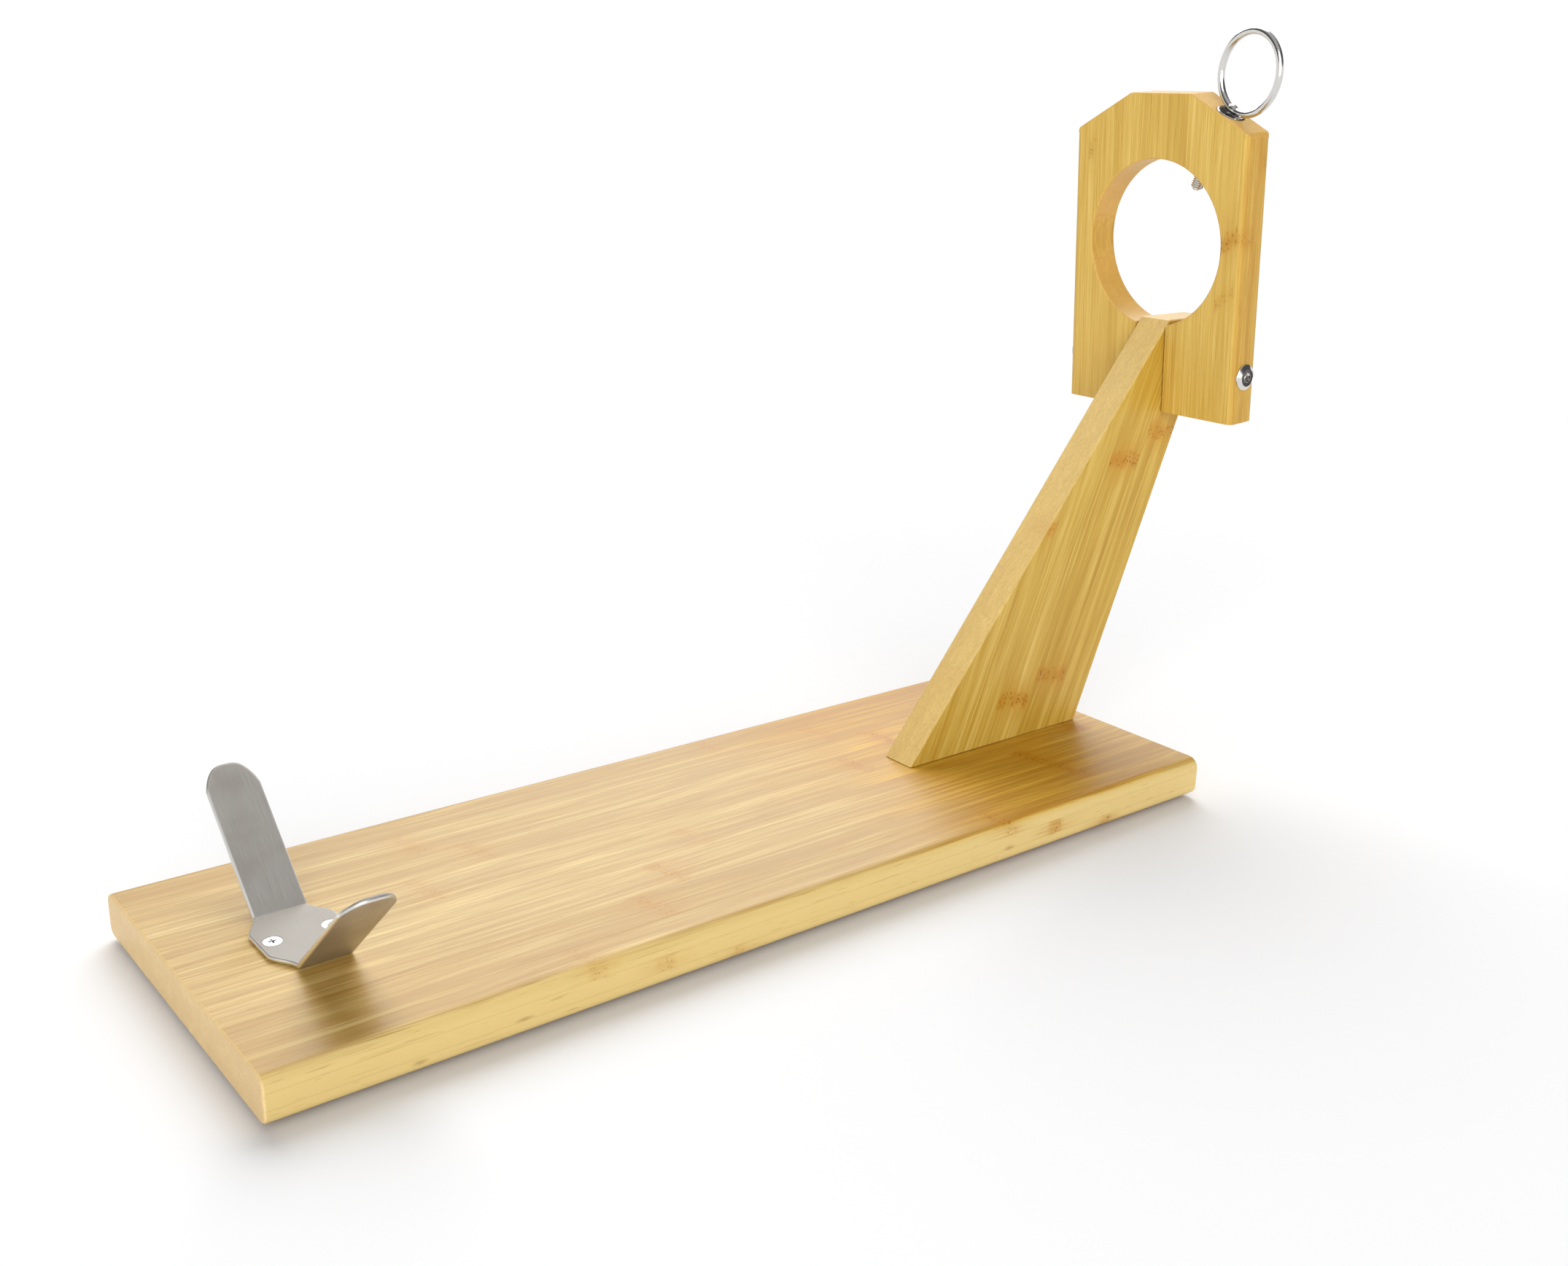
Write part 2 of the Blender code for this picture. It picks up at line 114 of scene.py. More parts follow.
def grid_faces(rows, columns, close_rows=False, close_columns=True):
    """Corner numbers of the four-sided faces of a grid of points, row by row."""
    row = np.arange(rows if close_rows else rows - 1)[:, None]
    column = np.arange(columns if close_columns else columns - 1)[None, :]
    below, beside = (row + 1) % rows, (column + 1) % columns
    here, under = row * columns, below * columns
    return np.stack((here + column, here + beside, under + beside, under + column), -1).reshape(-1, 4)


def mesh_of(name, points, faces, caps=()):
    """A mesh from points (n, 3), four-sided faces (m, 4) and a few many-sided caps, facing outwards."""
    points = np.asarray(points, np.float32).reshape(-1, 3)
    sizes = np.array([4] * len(faces) + [len(cap) for cap in caps], np.int32)
    corners = np.concatenate([np.asarray(part, np.int32).ravel() for part in (faces, *caps)])
    mesh = bpy.data.meshes.new(name)
    mesh.vertices.add(len(points))
    mesh.vertices.foreach_set("co", points.ravel())
    mesh.loops.add(len(corners))
    mesh.loops.foreach_set("vertex_index", corners)
    mesh.polygons.add(len(sizes))
    mesh.polygons.foreach_set("loop_start", np.cumsum(sizes, dtype=np.int32) - sizes)
    mesh.update(calc_edges=True)
    shape = bmesh.new()
    shape.from_mesh(mesh)
    bmesh.ops.remove_doubles(shape, verts=shape.verts, dist=1e-7)
    bmesh.ops.recalc_face_normals(shape, faces=shape.faces)
    shape.to_mesh(mesh)
    shape.free()
    return mesh


def cut(mesh, *tools):
    """The mesh with the closed tool meshes cut out of it, as a new mesh."""
    block = bpy.data.objects.new("block", mesh)
    bpy.context.scene.collection.objects.link(block)
    helpers = []
    for tool in tools:
        helper = bpy.data.objects.new("tool", tool)
        bpy.context.scene.collection.objects.link(helper)
        step = block.modifiers.new("cut", "BOOLEAN")
        step.operation = "DIFFERENCE"
        step.solver = "EXACT"
        step.object = helper
        helpers.append(helper)
    graph = bpy.context.evaluated_depsgraph_get()
    made = bpy.data.meshes.new_from_object(block.evaluated_get(graph))
    made.name = mesh.name
    for helper in [block, *helpers]:
        bpy.data.objects.remove(helper, do_unlink=True)
    return made


def piece(name, mesh, material, body, slot, *nodes, sharp=32):
    """An object for a finished mesh: smooth but for its sharp edges, riding on a body for CAD nodes."""
    mesh.materials.clear()
    mesh.materials.append(material)
    mesh.shade_smooth()
    mesh.set_sharp_from_angle(angle=math.radians(sharp))
    made = bpy.data.objects.new(name, mesh)
    bpy.context.scene.collection.objects.link(made)
    weighted = made.modifiers.new("even_shading", "WEIGHTED_NORMAL")
    weighted.keep_sharp = True
    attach(made, body)
    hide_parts(*nodes)


def moved(points, matrix):
    """Points (n, 3) carried by a matrix."""
    return np.asarray(points) @ np.array(matrix.to_3x3()).T + np.array(matrix.translation)


def frame_at(origin, upwards):
    """A matrix whose Z runs along upwards from origin and whose X is as near as can be to the part's X."""
    up, ahead = Vector(upwards).normalized(), Vector((1, 0, 0))
    side = (ahead - up * up.dot(ahead)).normalized()
    matrix = Matrix((side, up.cross(side), up)).transposed().to_4x4()
    matrix.translation = origin
    return matrix


def turned(name, profile, matrix, steps=72, closed=False):
    """A turned shape: each (radius, height) of the profile goes round Z, then the matrix places it."""
    profile = np.array(profile)
    angle = np.linspace(0, math.tau, steps, endpoint=False)
    radius, height = profile[:, :1], profile[:, 1:]
    points = np.stack([radius * np.cos(angle), radius * np.sin(angle), height + 0 * angle], -1)
    faces = grid_faces(len(profile), steps, close_rows=closed)
    return mesh_of(name, moved(points.reshape(-1, 3), matrix), faces)


def prism_tool(name, sides, radius, low, high, matrix, point=0):
    """A many-sided bar from low to high, for cutting, with a conical end of depth point at low."""
    angle = np.linspace(0, math.tau, sides, endpoint=False)
    rings = [(0, low - point), (radius, low), (radius, high), (0, high)]
    rows = [np.stack([r * np.cos(angle), r * np.sin(angle), np.full(sides, z)], -1) for r, z in rings]
    return mesh_of(name, moved(np.concatenate(rows), matrix), grid_faces(4, sides))


def arc(centre, radius, start, end, steps):
    """Points (x, y) of an arc about a centre, from one angle to another."""
    angle = np.linspace(start, end, steps + 1)
    return np.stack([centre[0] + radius * np.cos(angle), centre[1] + radius * np.sin(angle)], -1)


def rounded_corners(corners, radii, steps=6):
    """A polygon (x, y) whose corners are replaced by arcs that touch both sides."""
    corners = [np.array(c, float) for c in corners]
    points = []
    for i, corner in enumerate(corners):
        before, after = corners[i - 1] - corner, corners[(i + 1) % len(corners)] - corner
        before, after = before / np.linalg.norm(before), after / np.linalg.norm(after)
        half = math.acos(np.clip(before @ after, -1, 1)) / 2
        middle = before + after
        centre = corner + middle / np.linalg.norm(middle) * radii[i] / math.sin(half)
        start, end = corner + before * radii[i] / math.tan(half), corner + after * radii[i] / math.tan(half)
        first = math.atan2(*(start - centre)[::-1])
        turn = (math.atan2(*(end - centre)[::-1]) - first + math.pi) % math.tau - math.pi
        points.append(arc(centre, radii[i], first, first + turn, steps))
    return np.concatenate(points)


def outward_normals(outline):
    """Mitred outward normals of a counter-clockwise outline: moving a point by one unit along its own
    moves both its sides out by one unit."""
    ahead = np.roll(outline, -1, 0) - outline
    ahead /= np.linalg.norm(ahead, axis=1, keepdims=True)
    behind = np.roll(ahead, 1, 0)
    normal = np.stack([ahead[:, 1] + behind[:, 1], -ahead[:, 0] - behind[:, 0]], -1)
    length = np.linalg.norm(normal, axis=1, keepdims=True)
    cosine = np.clip(length / 2, 0.5, 1)
    return normal / length / cosine


def plate(name, outline, thick, radius, matrix, steps=6):
    """A flat plate: the outline (x, y), thick along Z about its own plane. Each rim point's edge is a
    quarter circle of its own radius: in by r (1 - cos a), and up to half - r + r sin a."""
    outline = np.asarray(outline, float)
    radius = np.broadcast_to(np.asarray(radius, float), len(outline))[:, None]
    normals = outward_normals(outline)
    angle = np.linspace(0, math.pi / 2, steps + 1)
    rows = []
    for side, angles in ((-1, angle[::-1]), (1, angle)):
        for a in angles:
            inset = outline - normals * radius * (1 - math.cos(a))
            level = side * (thick / 2 - radius + radius * math.sin(a))
            rows.append(np.concatenate([inset, level], 1))
    points = np.concatenate(rows)
    count = len(outline)
    last = (len(rows) - 1) * count
    caps = (np.arange(count)[::-1], np.arange(last, last + count))
    return mesh_of(name, moved(points, matrix), grid_faces(len(rows), count), caps)


def bored(name, profile, matrix, steps=48):
    """A turned tool, for cutting, from a profile in mm."""
    return turned(name, np.array(profile) * MM, matrix, steps)


def rod_mesh(name, below, thread, height, above, matrix):
    """A rod along Z, in mm: rings (radius, height) at its lower end, a thread as a grid of radii over
    heights and angles, then rings at its upper end."""
    angle = np.linspace(0, math.tau, thread.shape[1], endpoint=False)
    below, above, round_once = np.array(below), np.array(above), np.ones(len(angle))
    level = np.concatenate([below[:, 1], height, above[:, 1]])[:, None]
    radius = np.concatenate([below[:, :1] * round_once, thread, above[:, :1] * round_once])
    points = np.stack([radius * np.cos(angle), radius * np.sin(angle), level * round_once], -1)
    return mesh_of(name, moved(points.reshape(-1, 3) * MM, matrix), grid_faces(len(level), len(angle)))


def points_of(mesh):
    found = np.empty(len(mesh.vertices) * 3, np.float32)
    mesh.vertices.foreach_get("co", found)
    return found.reshape(-1, 3)


def radius_and_height(mesh, matrix):
    """Distance of each point from the matrix's Z axis, and its height along it."""
    local = moved(points_of(mesh), matrix.inverted())
    return np.hypot(local[:, 0], local[:, 1]), local[:, 2]


def store(mesh, name, share):
    """Stores a value from 0 to 1 for each point of a mesh, which its material reads by name."""
    layer = mesh.attributes.new(name, "FLOAT", "POINT")
    layer.data.foreach_set("value", np.asarray(share, np.float32))


# ---------------------------------------------------------------- node helpers

def srgb(red, green, blue):
    """Linear colour of an 8-bit screen colour."""
    share = np.array((red, green, blue)) / 255
    linear = np.where(share <= 0.04045, share / 12.92, ((share + 0.055) / 1.055) ** 2.4)
    return (*(float(c) for c in linear), 1.0)


class Nodes:
    """Short calls that add the nodes of one material, or of the world. Each returns its result's socket."""

    def __init__(self, name, world=False):
        self.owner = bpy.data.worlds.new(name) if world else bpy.data.materials.new(name)
        self.owner.use_nodes = True
        self.tree = self.owner.node_tree
        self.shader = self.tree.nodes["Background" if world else "Principled BSDF"]

    def add(self, kind, *values, output=0, **settings):
        made = self.tree.nodes.new("ShaderNode" + kind)
        for key, value in settings.items():
            setattr(made, key, value)
        for socket, value in zip(made.inputs, values):
            self.put(socket, value)
        return made.outputs[output]

    def put(self, socket, value):
        if isinstance(value, bpy.types.NodeSocket):
            self.tree.links.new(value, socket)
        elif value is not None:
            socket.default_value = value

    def source(self):
        return self.tree.nodes.new("ShaderNodeTexCoord").outputs

    def split(self, value, kind="SeparateXYZ"):
        made = self.tree.nodes.new("ShaderNode" + kind)
        self.put(made.inputs[0], value)
        return made.outputs

    def maths(self, operation, *values):
        return self.add("Math", *values, operation=operation)

    def times(self, first, second):
        return self.maths("MULTIPLY", first, second)

    def minus(self, first, second):
        return self.maths("SUBTRACT", first, second)

    def dot(self, first, second):
        return self.add("VectorMath", first, second, operation="DOT_PRODUCT", output=1)

    def vector(self, x, y, z):
        return self.add("CombineXYZ", x, y, z)

    def noise(self, place, scale=1.0, detail=2.0, roughness=0.5):
        return self.add("TexNoise", place, None, scale, detail, roughness)

    def noise_at(self, x, y, z, detail=2.0):
        return self.noise(self.vector(x, y, z), 1.0, detail)

    def steps(self, value, low, high, out_low=0.0, out_high=1.0):
        return self.add("MapRange", value, low, high, out_low, out_high, interpolation_type="SMOOTHSTEP")

    def mix(self, share, first, second, blend="MIX"):
        made = self.tree.nodes.new("ShaderNodeMix")
        made.data_type = "RGBA"
        made.blend_type = blend
        self.put(made.inputs[0], share)
        self.put(made.inputs[6], first)
        self.put(made.inputs[7], second)
        return made.outputs[2]

    def ramp(self, share, *stops, interpolation="LINEAR"):
        """A colour ramp's two outputs, colour and alpha."""
        made = self.tree.nodes.new("ShaderNodeValToRGB")
        made.color_ramp.interpolation = interpolation
        elements = made.color_ramp.elements
        while len(elements) < len(stops):
            elements.new(0.5)
        for element, (place, colour) in zip(elements, stops):
            element.position = place
            element.color = colour
        self.put(made.inputs[0], share)
        return made.outputs

    def cells(self, x, y, z):
        """Distance to the nearest point of a cell pattern."""
        made = self.tree.nodes.new("ShaderNodeTexVoronoi")
        self.put(made.inputs["Vector"], self.vector(x, y, z))
        made.inputs["Scale"].default_value = 1.0
        return made.outputs["Distance"]

    def bump(self, height, strength, distance):
        made = self.tree.nodes.new("ShaderNodeBump")
        self.put(made.inputs["Strength"], strength)
        self.put(made.inputs["Distance"], distance)
        self.put(made.inputs["Height"], height)
        self.put(self.shader.inputs["Normal"], made.outputs[0])

    def finish(self, **sockets):
        for name, value in sockets.items():
            self.put(self.shader.inputs[name.replace("_", " ").title().replace("Ior", "IOR")], value)
        return self.owner


# ---------------------------------------------------------------- bamboo

# Darkest fibres, middle, palest, then the cut ends' ground and dots
BOARD_TONES = (
    srgb(166, 123, 48), srgb(182, 146, 75), srgb(220, 192, 124), srgb(232, 204, 152), srgb(194, 154, 96),
)
POST_TONES = (
    srgb(162, 116, 26), srgb(191, 154, 58), srgb(220, 190, 104), srgb(238, 210, 148), srgb(196, 156, 84),
)
HEAD_TONES = (
    srgb(178, 130, 41), srgb(210, 173, 79), srgb(238, 210, 129), srgb(212, 167, 88), srgb(186, 144, 74),
)
GLUE = srgb(140, 94, 34)
# Tint multiplied in as painted warm shade
WARM_SHADE = srgb(254, 230, 104)
KNOT = srgb(184, 124, 10)
KNOT_DOT = srgb(122, 72, 6)


def bamboo(
    name, grain, origin, strip, ply, axes, joints, tones,
    width=1.0, vivid=1.0, sides=0.0, warm=None, knots=(),
):
    """Laminated bamboo. The object's coordinates turn about Y by the grain's angle, from an origin.
    Strips lie side by side across the grain and plies through it, each with a tone and a place in the
    fibre noise of its own. Each strip has the joint marks of the cane at known places along it: joints
    lists (first place, second place, how dark the first is, how dark the second is) for each strip.
    Width scales the streaks and vivid their contrast. Sides paints light and shade by facing: faces that look
    sideways move up the tone ramp as painted light when it is above zero, and down as painted shade when
    below. Warm is painted shade with a warm tint, a yellower stretch: where it starts, is full, fades and
    ends, and its strength. Knots are dark
    spots: (place, size, strength)."""
    n = Nodes(name)
    source = n.source()
    turn = n.tree.nodes.new("ShaderNodeMapping")
    n.put(turn.inputs["Vector"], source["Object"])
    turn.inputs["Rotation"].default_value = (0, grain, 0)
    turn.inputs["Location"].default_value = -(Matrix.Rotation(grain, 3, "Y") @ Vector(origin))
    place = n.split(turn.outputs[0])
    along = place["X"]
    across, through = (place[axis] for axis in axes)

    ply_number = n.maths("FLOOR", n.maths("DIVIDE", through, ply))
    ply_share = n.maths("FRACT", n.maths("DIVIDE", through, ply))
    shifted = n.maths("MULTIPLY_ADD", ply_number, 0.37 * strip, across)
    strip_number = n.maths("FLOOR", n.maths("DIVIDE", shifted, strip))
    strip_share = n.maths("FRACT", n.maths("DIVIDE", shifted, strip))
    own = n.add("TexWhiteNoise", n.vector(strip_number, ply_number, 3.7), output=1)
    tone, shift, _ = n.split(own, "SeparateColor")

    # Fibres: long thin noise, with a slight drift of the grain inside each strip
    run = n.maths("MULTIPLY_ADD", shift, 9.0, along)
    drift = n.noise_at(n.times(run, 9.0), n.times(across, 30.0), through, 1.0)
    bent = n.maths("MULTIPLY_ADD", drift, 0.004, shifted)

    def streaks(length, thick, detail=2.0):
        thick *= width
        return n.noise_at(
            n.maths("DIVIDE", run, length), n.maths("DIVIDE", bent, thick),
            n.maths("DIVIDE", through, thick), detail,
        )

    broad = streaks(0.20, 0.0060)
    fibre = streaks(0.060, 0.0016, 3.0)
    fine = streaks(0.030, 0.00045)
    dark_lines = n.steps(streaks(0.050, 0.00085, 1.0), 0.60, 0.74)
    pale_lines = n.steps(streaks(0.070, 0.0011, 1.0), 0.62, 0.74)
    flecks = n.steps(streaks(0.012, 0.00040, 1.0), 0.68, 0.76)

    mixed = n.maths("MULTIPLY_ADD", tone, 0.26 * vivid, 0.5 - 0.13 * vivid)
    mixed = n.maths("MULTIPLY_ADD", n.minus(broad, 0.5), 0.9 * vivid ** 2, mixed)
    mixed = n.maths("MULTIPLY_ADD", n.minus(fibre, 0.5), 1.05 * vivid, mixed)
    mixed = n.maths("MULTIPLY_ADD", n.minus(fine, 0.5), 0.65, mixed)
    mixed = n.maths("MULTIPLY_ADD", pale_lines, 0.18 * vivid, mixed)
    mixed = n.maths("MULTIPLY_ADD", dark_lines, -0.26 * vivid, mixed)
    # Painted light and shade: faces that look sideways along Y move along the tone ramp by sides
    sideways = n.steps(n.maths("ABSOLUTE", n.split(source["Normal"])["Y"]), 0.35, 0.95)
    mixed = n.maths("MULTIPLY_ADD", sideways, sides, mixed)
    colour = n.ramp(mixed, (0.0, tones[0]), (0.5, tones[1]), (1.0, tones[2]))[0]
    # Painted warm shade: a yellower, darker stretch along the grain, kept off the sideways faces
    if warm:
        start, full, fade, end, share = warm
        cloud = n.noise_at(n.times(along, 14.0), n.times(across, 40.0), through, 2.0)
        stretch = n.maths("MULTIPLY_ADD", cloud, 0.09, n.minus(along, 0.045))
        warm_shade = n.times(n.steps(stretch, start, full), n.steps(stretch, fade, end, 1.0, 0.25))
        warm_shade = n.times(warm_shade, n.minus(share, n.times(sideways, share)))
        colour = n.mix(warm_shade, colour, WARM_SHADE, "MULTIPLY")
    colour = n.mix(n.times(flecks, 0.40), colour, GLUE)

    # Seams between strips and plies
    edge = n.times(n.maths("MINIMUM", strip_share, n.minus(1.0, strip_share)), strip)
    layer = n.times(n.maths("MINIMUM", ply_share, n.minus(1.0, ply_share)), ply)
    seam = n.steps(n.maths("MINIMUM", edge, layer), 0.00004, 0.00020, 1.0, 0.0)
    colour = n.mix(n.times(seam, 0.20), colour, GLUE)

    # Joint marks: a stain along the fibres, a ragged band across one strip, and rows of dots in it
    count = len(joints)
    stops = [(i / count, joint) for i, joint in enumerate(joints)]
    which = n.maths("DIVIDE", n.maths("ADD", strip_number, 0.5), count)
    marks, second_dark = n.ramp(which, *stops, interpolation="CONSTANT")
    first_place, second_place, first_dark = n.split(marks, "SeparateColor")
    wander = n.noise_at(n.times(along, 60.0), n.times(across, 160.0), strip_number, 2.0)
    ragged = n.noise_at(n.times(run, 25.0), n.times(across, 1500.0), through, 1.0)
    bow = n.times(n.minus(strip_share, 0.5), 0.004)
    shove = n.maths("MULTIPLY_ADD", ply_number, 0.031, n.maths("MULTIPLY_ADD", wander, 0.007, -0.0035))
    here = n.maths("ADD", along, n.maths("ADD", bow, shove))
    cells = n.cells(n.times(along, 520.0), n.times(across, 640.0), n.times(through, 640.0))
    dots = n.steps(cells, 0.20, 0.38, 1.0, 0.0)
    streaky = n.maths("MULTIPLY_ADD", n.steps(fibre, 0.40, 0.62), 0.55, 0.2)
    patchy = n.steps(wander, 0.30, 0.62, 0.25, 0.85)
    pits = 0.0
    for place, dark in ((first_place, first_dark), (second_place, second_dark)):
        near = n.maths("ABSOLUTE", n.minus(here, place))
        torn = n.maths("MULTIPLY_ADD", n.minus(ragged, 0.5), 0.009, near)
        glow = n.steps(n.maths("MULTIPLY_ADD", wander, 0.012, near), 0.006, 0.024, 1.0, 0.0)
        stain = n.times(streaky, glow)
        colour = n.mix(n.times(stain, n.times(dark, 0.78)), colour, KNOT)
        band = n.times(n.steps(torn, 0.0012, 0.0052, 1.0, 0.0), patchy)
        colour = n.mix(n.times(band, dark), colour, KNOT)
        row = n.steps(near, 0.0018, 0.0044, 1.0, 0.0)
        dotted = n.times(n.times(dots, row), dark)
        colour = n.mix(n.times(dotted, 0.8), colour, KNOT_DOT)
        pits = n.maths("ADD", pits, dotted)
    for knot, size, strength in knots:
        off = n.add("VectorMath", source["Object"], knot, operation="SUBTRACT")
        off = n.add("VectorMath", off, tuple(1 / s for s in size), operation="MULTIPLY")
        far = n.add("VectorMath", off, operation="LENGTH", output=1)
        far = n.maths("MULTIPLY_ADD", n.minus(ragged, 0.5), 0.9, far)
        colour = n.mix(n.steps(far, 0.1, 1.1, strength, 0.0), colour, KNOT_DOT)

    # End grain: where the surface cuts the fibres, dots on a ground of its own
    cutting = n.maths("ABSOLUTE", n.dot(source["Normal"], (math.cos(grain), 0, math.sin(grain))))
    bundles = n.cells(n.times(along, 220.0), n.times(bent, 2100.0), n.times(through, 2100.0))
    speck = n.steps(bundles, 0.15, 0.65, 1.0, 0.0)
    end = n.mix(n.times(speck, 0.36), n.mix(0.35, tones[3], colour), tones[4])
    colour = n.mix(n.steps(cutting, 0.08, 0.36), colour, end)

    gloss = n.add("MapRange", n.maths("ADD", fibre, n.times(fine, 0.5)), 0.4, 1.1, 0.36, 0.52)
    height = n.maths("MULTIPLY_ADD", fine, 0.6, fibre)
    height = n.minus(height, n.times(seam, 0.8))
    height = n.minus(height, n.maths("MULTIPLY_ADD", dark_lines, 0.4, n.times(flecks, 0.4)))
    n.bump(n.minus(height, pits), 0.40, 0.00012)
    return n.finish(
        base_color=colour, roughness=gloss, specular_ior_level=0.32, coat_weight=0.06, coat_roughness=0.22,
    )


# ---------------------------------------------------------------- metal and rubber

def plated(name, colour, low, high):
    """Bright plated steel: fine scratches set its gloss between low and high, and the piece's own
    attribute of painted shade darkens its recesses and makes them rougher."""
    n = Nodes(name)
    at = n.source()["Object"]
    scratches = n.noise(n.add("VectorMath", at, (900, 900, 900), operation="MULTIPLY"), 1.0, 3.0, 0.6)
    patches = n.noise(at, 140.0, 2.0)
    painted_shade = n.add("Attribute", attribute_name="painted_shade", output=2)
    gloss = n.add("MapRange", scratches, 0.3, 0.7, low, high)
    gloss = n.maths("MULTIPLY_ADD", painted_shade, 0.3, n.maths("MULTIPLY_ADD", patches, 0.08, gloss))
    shade = n.mix(n.times(patches, 0.25), colour, tuple(0.8 * c for c in colour[:3]) + (1,))
    # Painted shade: the recesses darken towards a dark grey-brown, mottled by the patches
    shade = n.mix(n.times(painted_shade, n.steps(patches, 0.1, 0.6, 0.75, 1.0)), shade, srgb(58, 53, 47))
    n.bump(scratches, 0.10, 0.00003)
    return n.finish(base_color=shade, metallic=1.0, roughness=gloss)


def satin_sheet():
    """Satin steel sheet: a fine brushed grain up the wings, a painted highlight, brighter and glossier, along
    its "rim" attribute, and painted shade, darker and rougher, where it faces up, on its seat."""
    n = Nodes("satin_sheet")
    source = n.source()
    at = source["Object"]
    x, y, z = n.split(at)
    seat = n.steps(n.split(source["Normal"])["Z"], 0.75, 0.95)
    brushed = n.noise_at(n.times(x, 3400.0), n.times(y, 90.0), n.times(z, 90.0), 3.0)
    grit = n.noise(at, 2600.0, 3.0)
    cloud = n.noise(at, 60.0, 3.0)
    rim = n.add("Attribute", attribute_name="rim", output=2)
    shade = n.ramp(brushed, (0.25, srgb(184, 180, 173)), (0.75, srgb(204, 200, 194)))[0]
    shade = n.mix(n.steps(cloud, 0.35, 0.75, 0.0, 0.45), shade, srgb(164, 155, 143))
    shade = n.mix(n.times(grit, 0.20), shade, srgb(156, 150, 142))
    # Painted highlight along the rim
    shade = n.mix(n.times(rim, 0.85), shade, srgb(244, 243, 240))
    # Painted shade where the sheet faces up, on its seat
    shade = n.mix(n.times(seat, 0.75), shade, srgb(118, 114, 108))
    gloss = n.maths("MULTIPLY_ADD", grit, 0.14, n.maths("MULTIPLY_ADD", brushed, 0.08, 0.40))
    gloss = n.maths("MULTIPLY_ADD", rim, -0.10, gloss)
    gloss = n.maths("MULTIPLY_ADD", seat, 0.10, gloss)
    n.bump(n.maths("MULTIPLY_ADD", grit, 0.6, n.times(brushed, 0.5)), 0.10, 0.00003)
    return n.finish(base_color=shade, metallic=1.0, roughness=gloss)


def soft_rubber():
    n = Nodes("soft_rubber")
    grain = n.noise(n.source()["Object"], 1800.0, 3.0)
    shade = n.mix(grain, srgb(128, 126, 120), srgb(168, 166, 160))
    n.bump(grain, 0.3, 0.0001)
    return n.finish(base_color=shade, roughness=n.steps(grain, 0.2, 0.8, 0.5, 0.75))


# ---------------------------------------------------------------- wooden pieces

# Where the cane's joints fall in each strip, in metres along the grain, and how dark they are.
# The board's strips run from the near side to the far side, the post's from its rear edge forwards.
BOARD_STRIP = 20.4 * MM
BOARD_PLY = 6.2 * MM
BOARD_SEAM = -1.7 * MM - 4 * BOARD_STRIP
BOARD_JOINTS = (
    (0.121, 0.325, 0.30, 0.60), (0.162, 0.3905, 0.42, 0.80), (0.182, 0.3865, 0.45, 0.80),
    (0.2085, 0.432, 0.22, 0.75), (0.098, 0.313, 0.3, 0.55), (0.130, 0.3445, 0.3, 0.75),
    (0.110, 0.3245, 0.3, 0.35), (0.060, 0.270, 0.3, 0.35),
)
# Painted warm shade round the post's foot: where it starts, is full, fades and ends, and its strength
BOARD_WARM_SHADE = (0.25, 0.34, 0.40, 0.46, 0.9)
BOARD_KNOTS = tuple(
    ((FRONT + x * MM, -BOARD_WIDTH / 2, z * MM), (long * MM, 4 * MM, high * MM), dark)
    for x, z, long, high, dark in ((53, 6.2, 4, 1.4, 0.40), (92, 8.6, 5, 1.0, 0.45), (326, 8.4, 4, 1.4, 0.40))
)
POST_STRIP = 20 * MM
POST_PLY = 10.9 * MM
POST_JOINTS = (
    (0.3275, 0.110, 0.75, 0.6), (0.199, 0.308, 0.80, 1.0), (0.1825, 0.420, 0.80, 0.3),
    (0.263, 0.060, 0.70, 0.3), (0.090, 0.520, 0.45, 0.3),
)
HEAD_STRIP = 5.3 * MM
HEAD_PLY = 8.8 * MM
HEAD_JOINTS = {
    0: (0.064, 0.900, 0.35, 0.0), 1: (0.063, 0.038, 0.75, 0.25), 2: (0.060, 0.035, 0.65, 0.35),
    11: (0.012, 0.900, 0.35, 0.0), 15: (0.075, 0.900, 0.45, 0.0), 17: (0.100, 0.900, 0.35, 0.0),
}
UNMARKED = (0.9, 0.9, 0.0, 0.0)


def make_board(material):
    """The board: its outline is the section across it, drawn out along X with softened ends."""
    half, thick = BOARD_WIDTH / 2, BOARD_HIGH.z - BOARD_LOW.z
    section = rounded_corners(
        [(-half, 0), (half, 0), (half, thick), (-half, thick)], (4 * MM, 4 * MM, 5 * MM, 5 * MM), 8,
    )
    length = BOARD_HIGH.x - BOARD_LOW.x
    # The section's own x is the part's Y, its y is Z and its thickness runs along X.
    matrix = Matrix(((0, 0, 1, FRONT + length / 2), (1, 0, 0, 0), (0, 1, 0, BOARD_LOW.z), (0, 0, 0, 1)))
    mesh = plate("board", section, length, 1.1 * MM, matrix)
    tools = []
    for x in POST_SCREWS:
        below = Matrix.Translation((FRONT + x * MM, 0, BOARD_LOW.z))
        tools.append(bored("sink", [(0, -1), (6.3, -1), (5.1, 0), (2.7, 3.6), (2.7, 12), (0, 12)], below))
    for side in (-1, 1):
        at = Matrix.Translation((FRONT + CRADLE_X + side * CRADLE_SCREW_OFF, 0, BOARD_TOP))
        tools.append(bored("pilot", [(0, -15.5), (1.95, -15), (1.95, 1), (0, 1)], at, 32))
    piece("board", cut(mesh, *tools), material, "stand", "bamboo", "base_board")


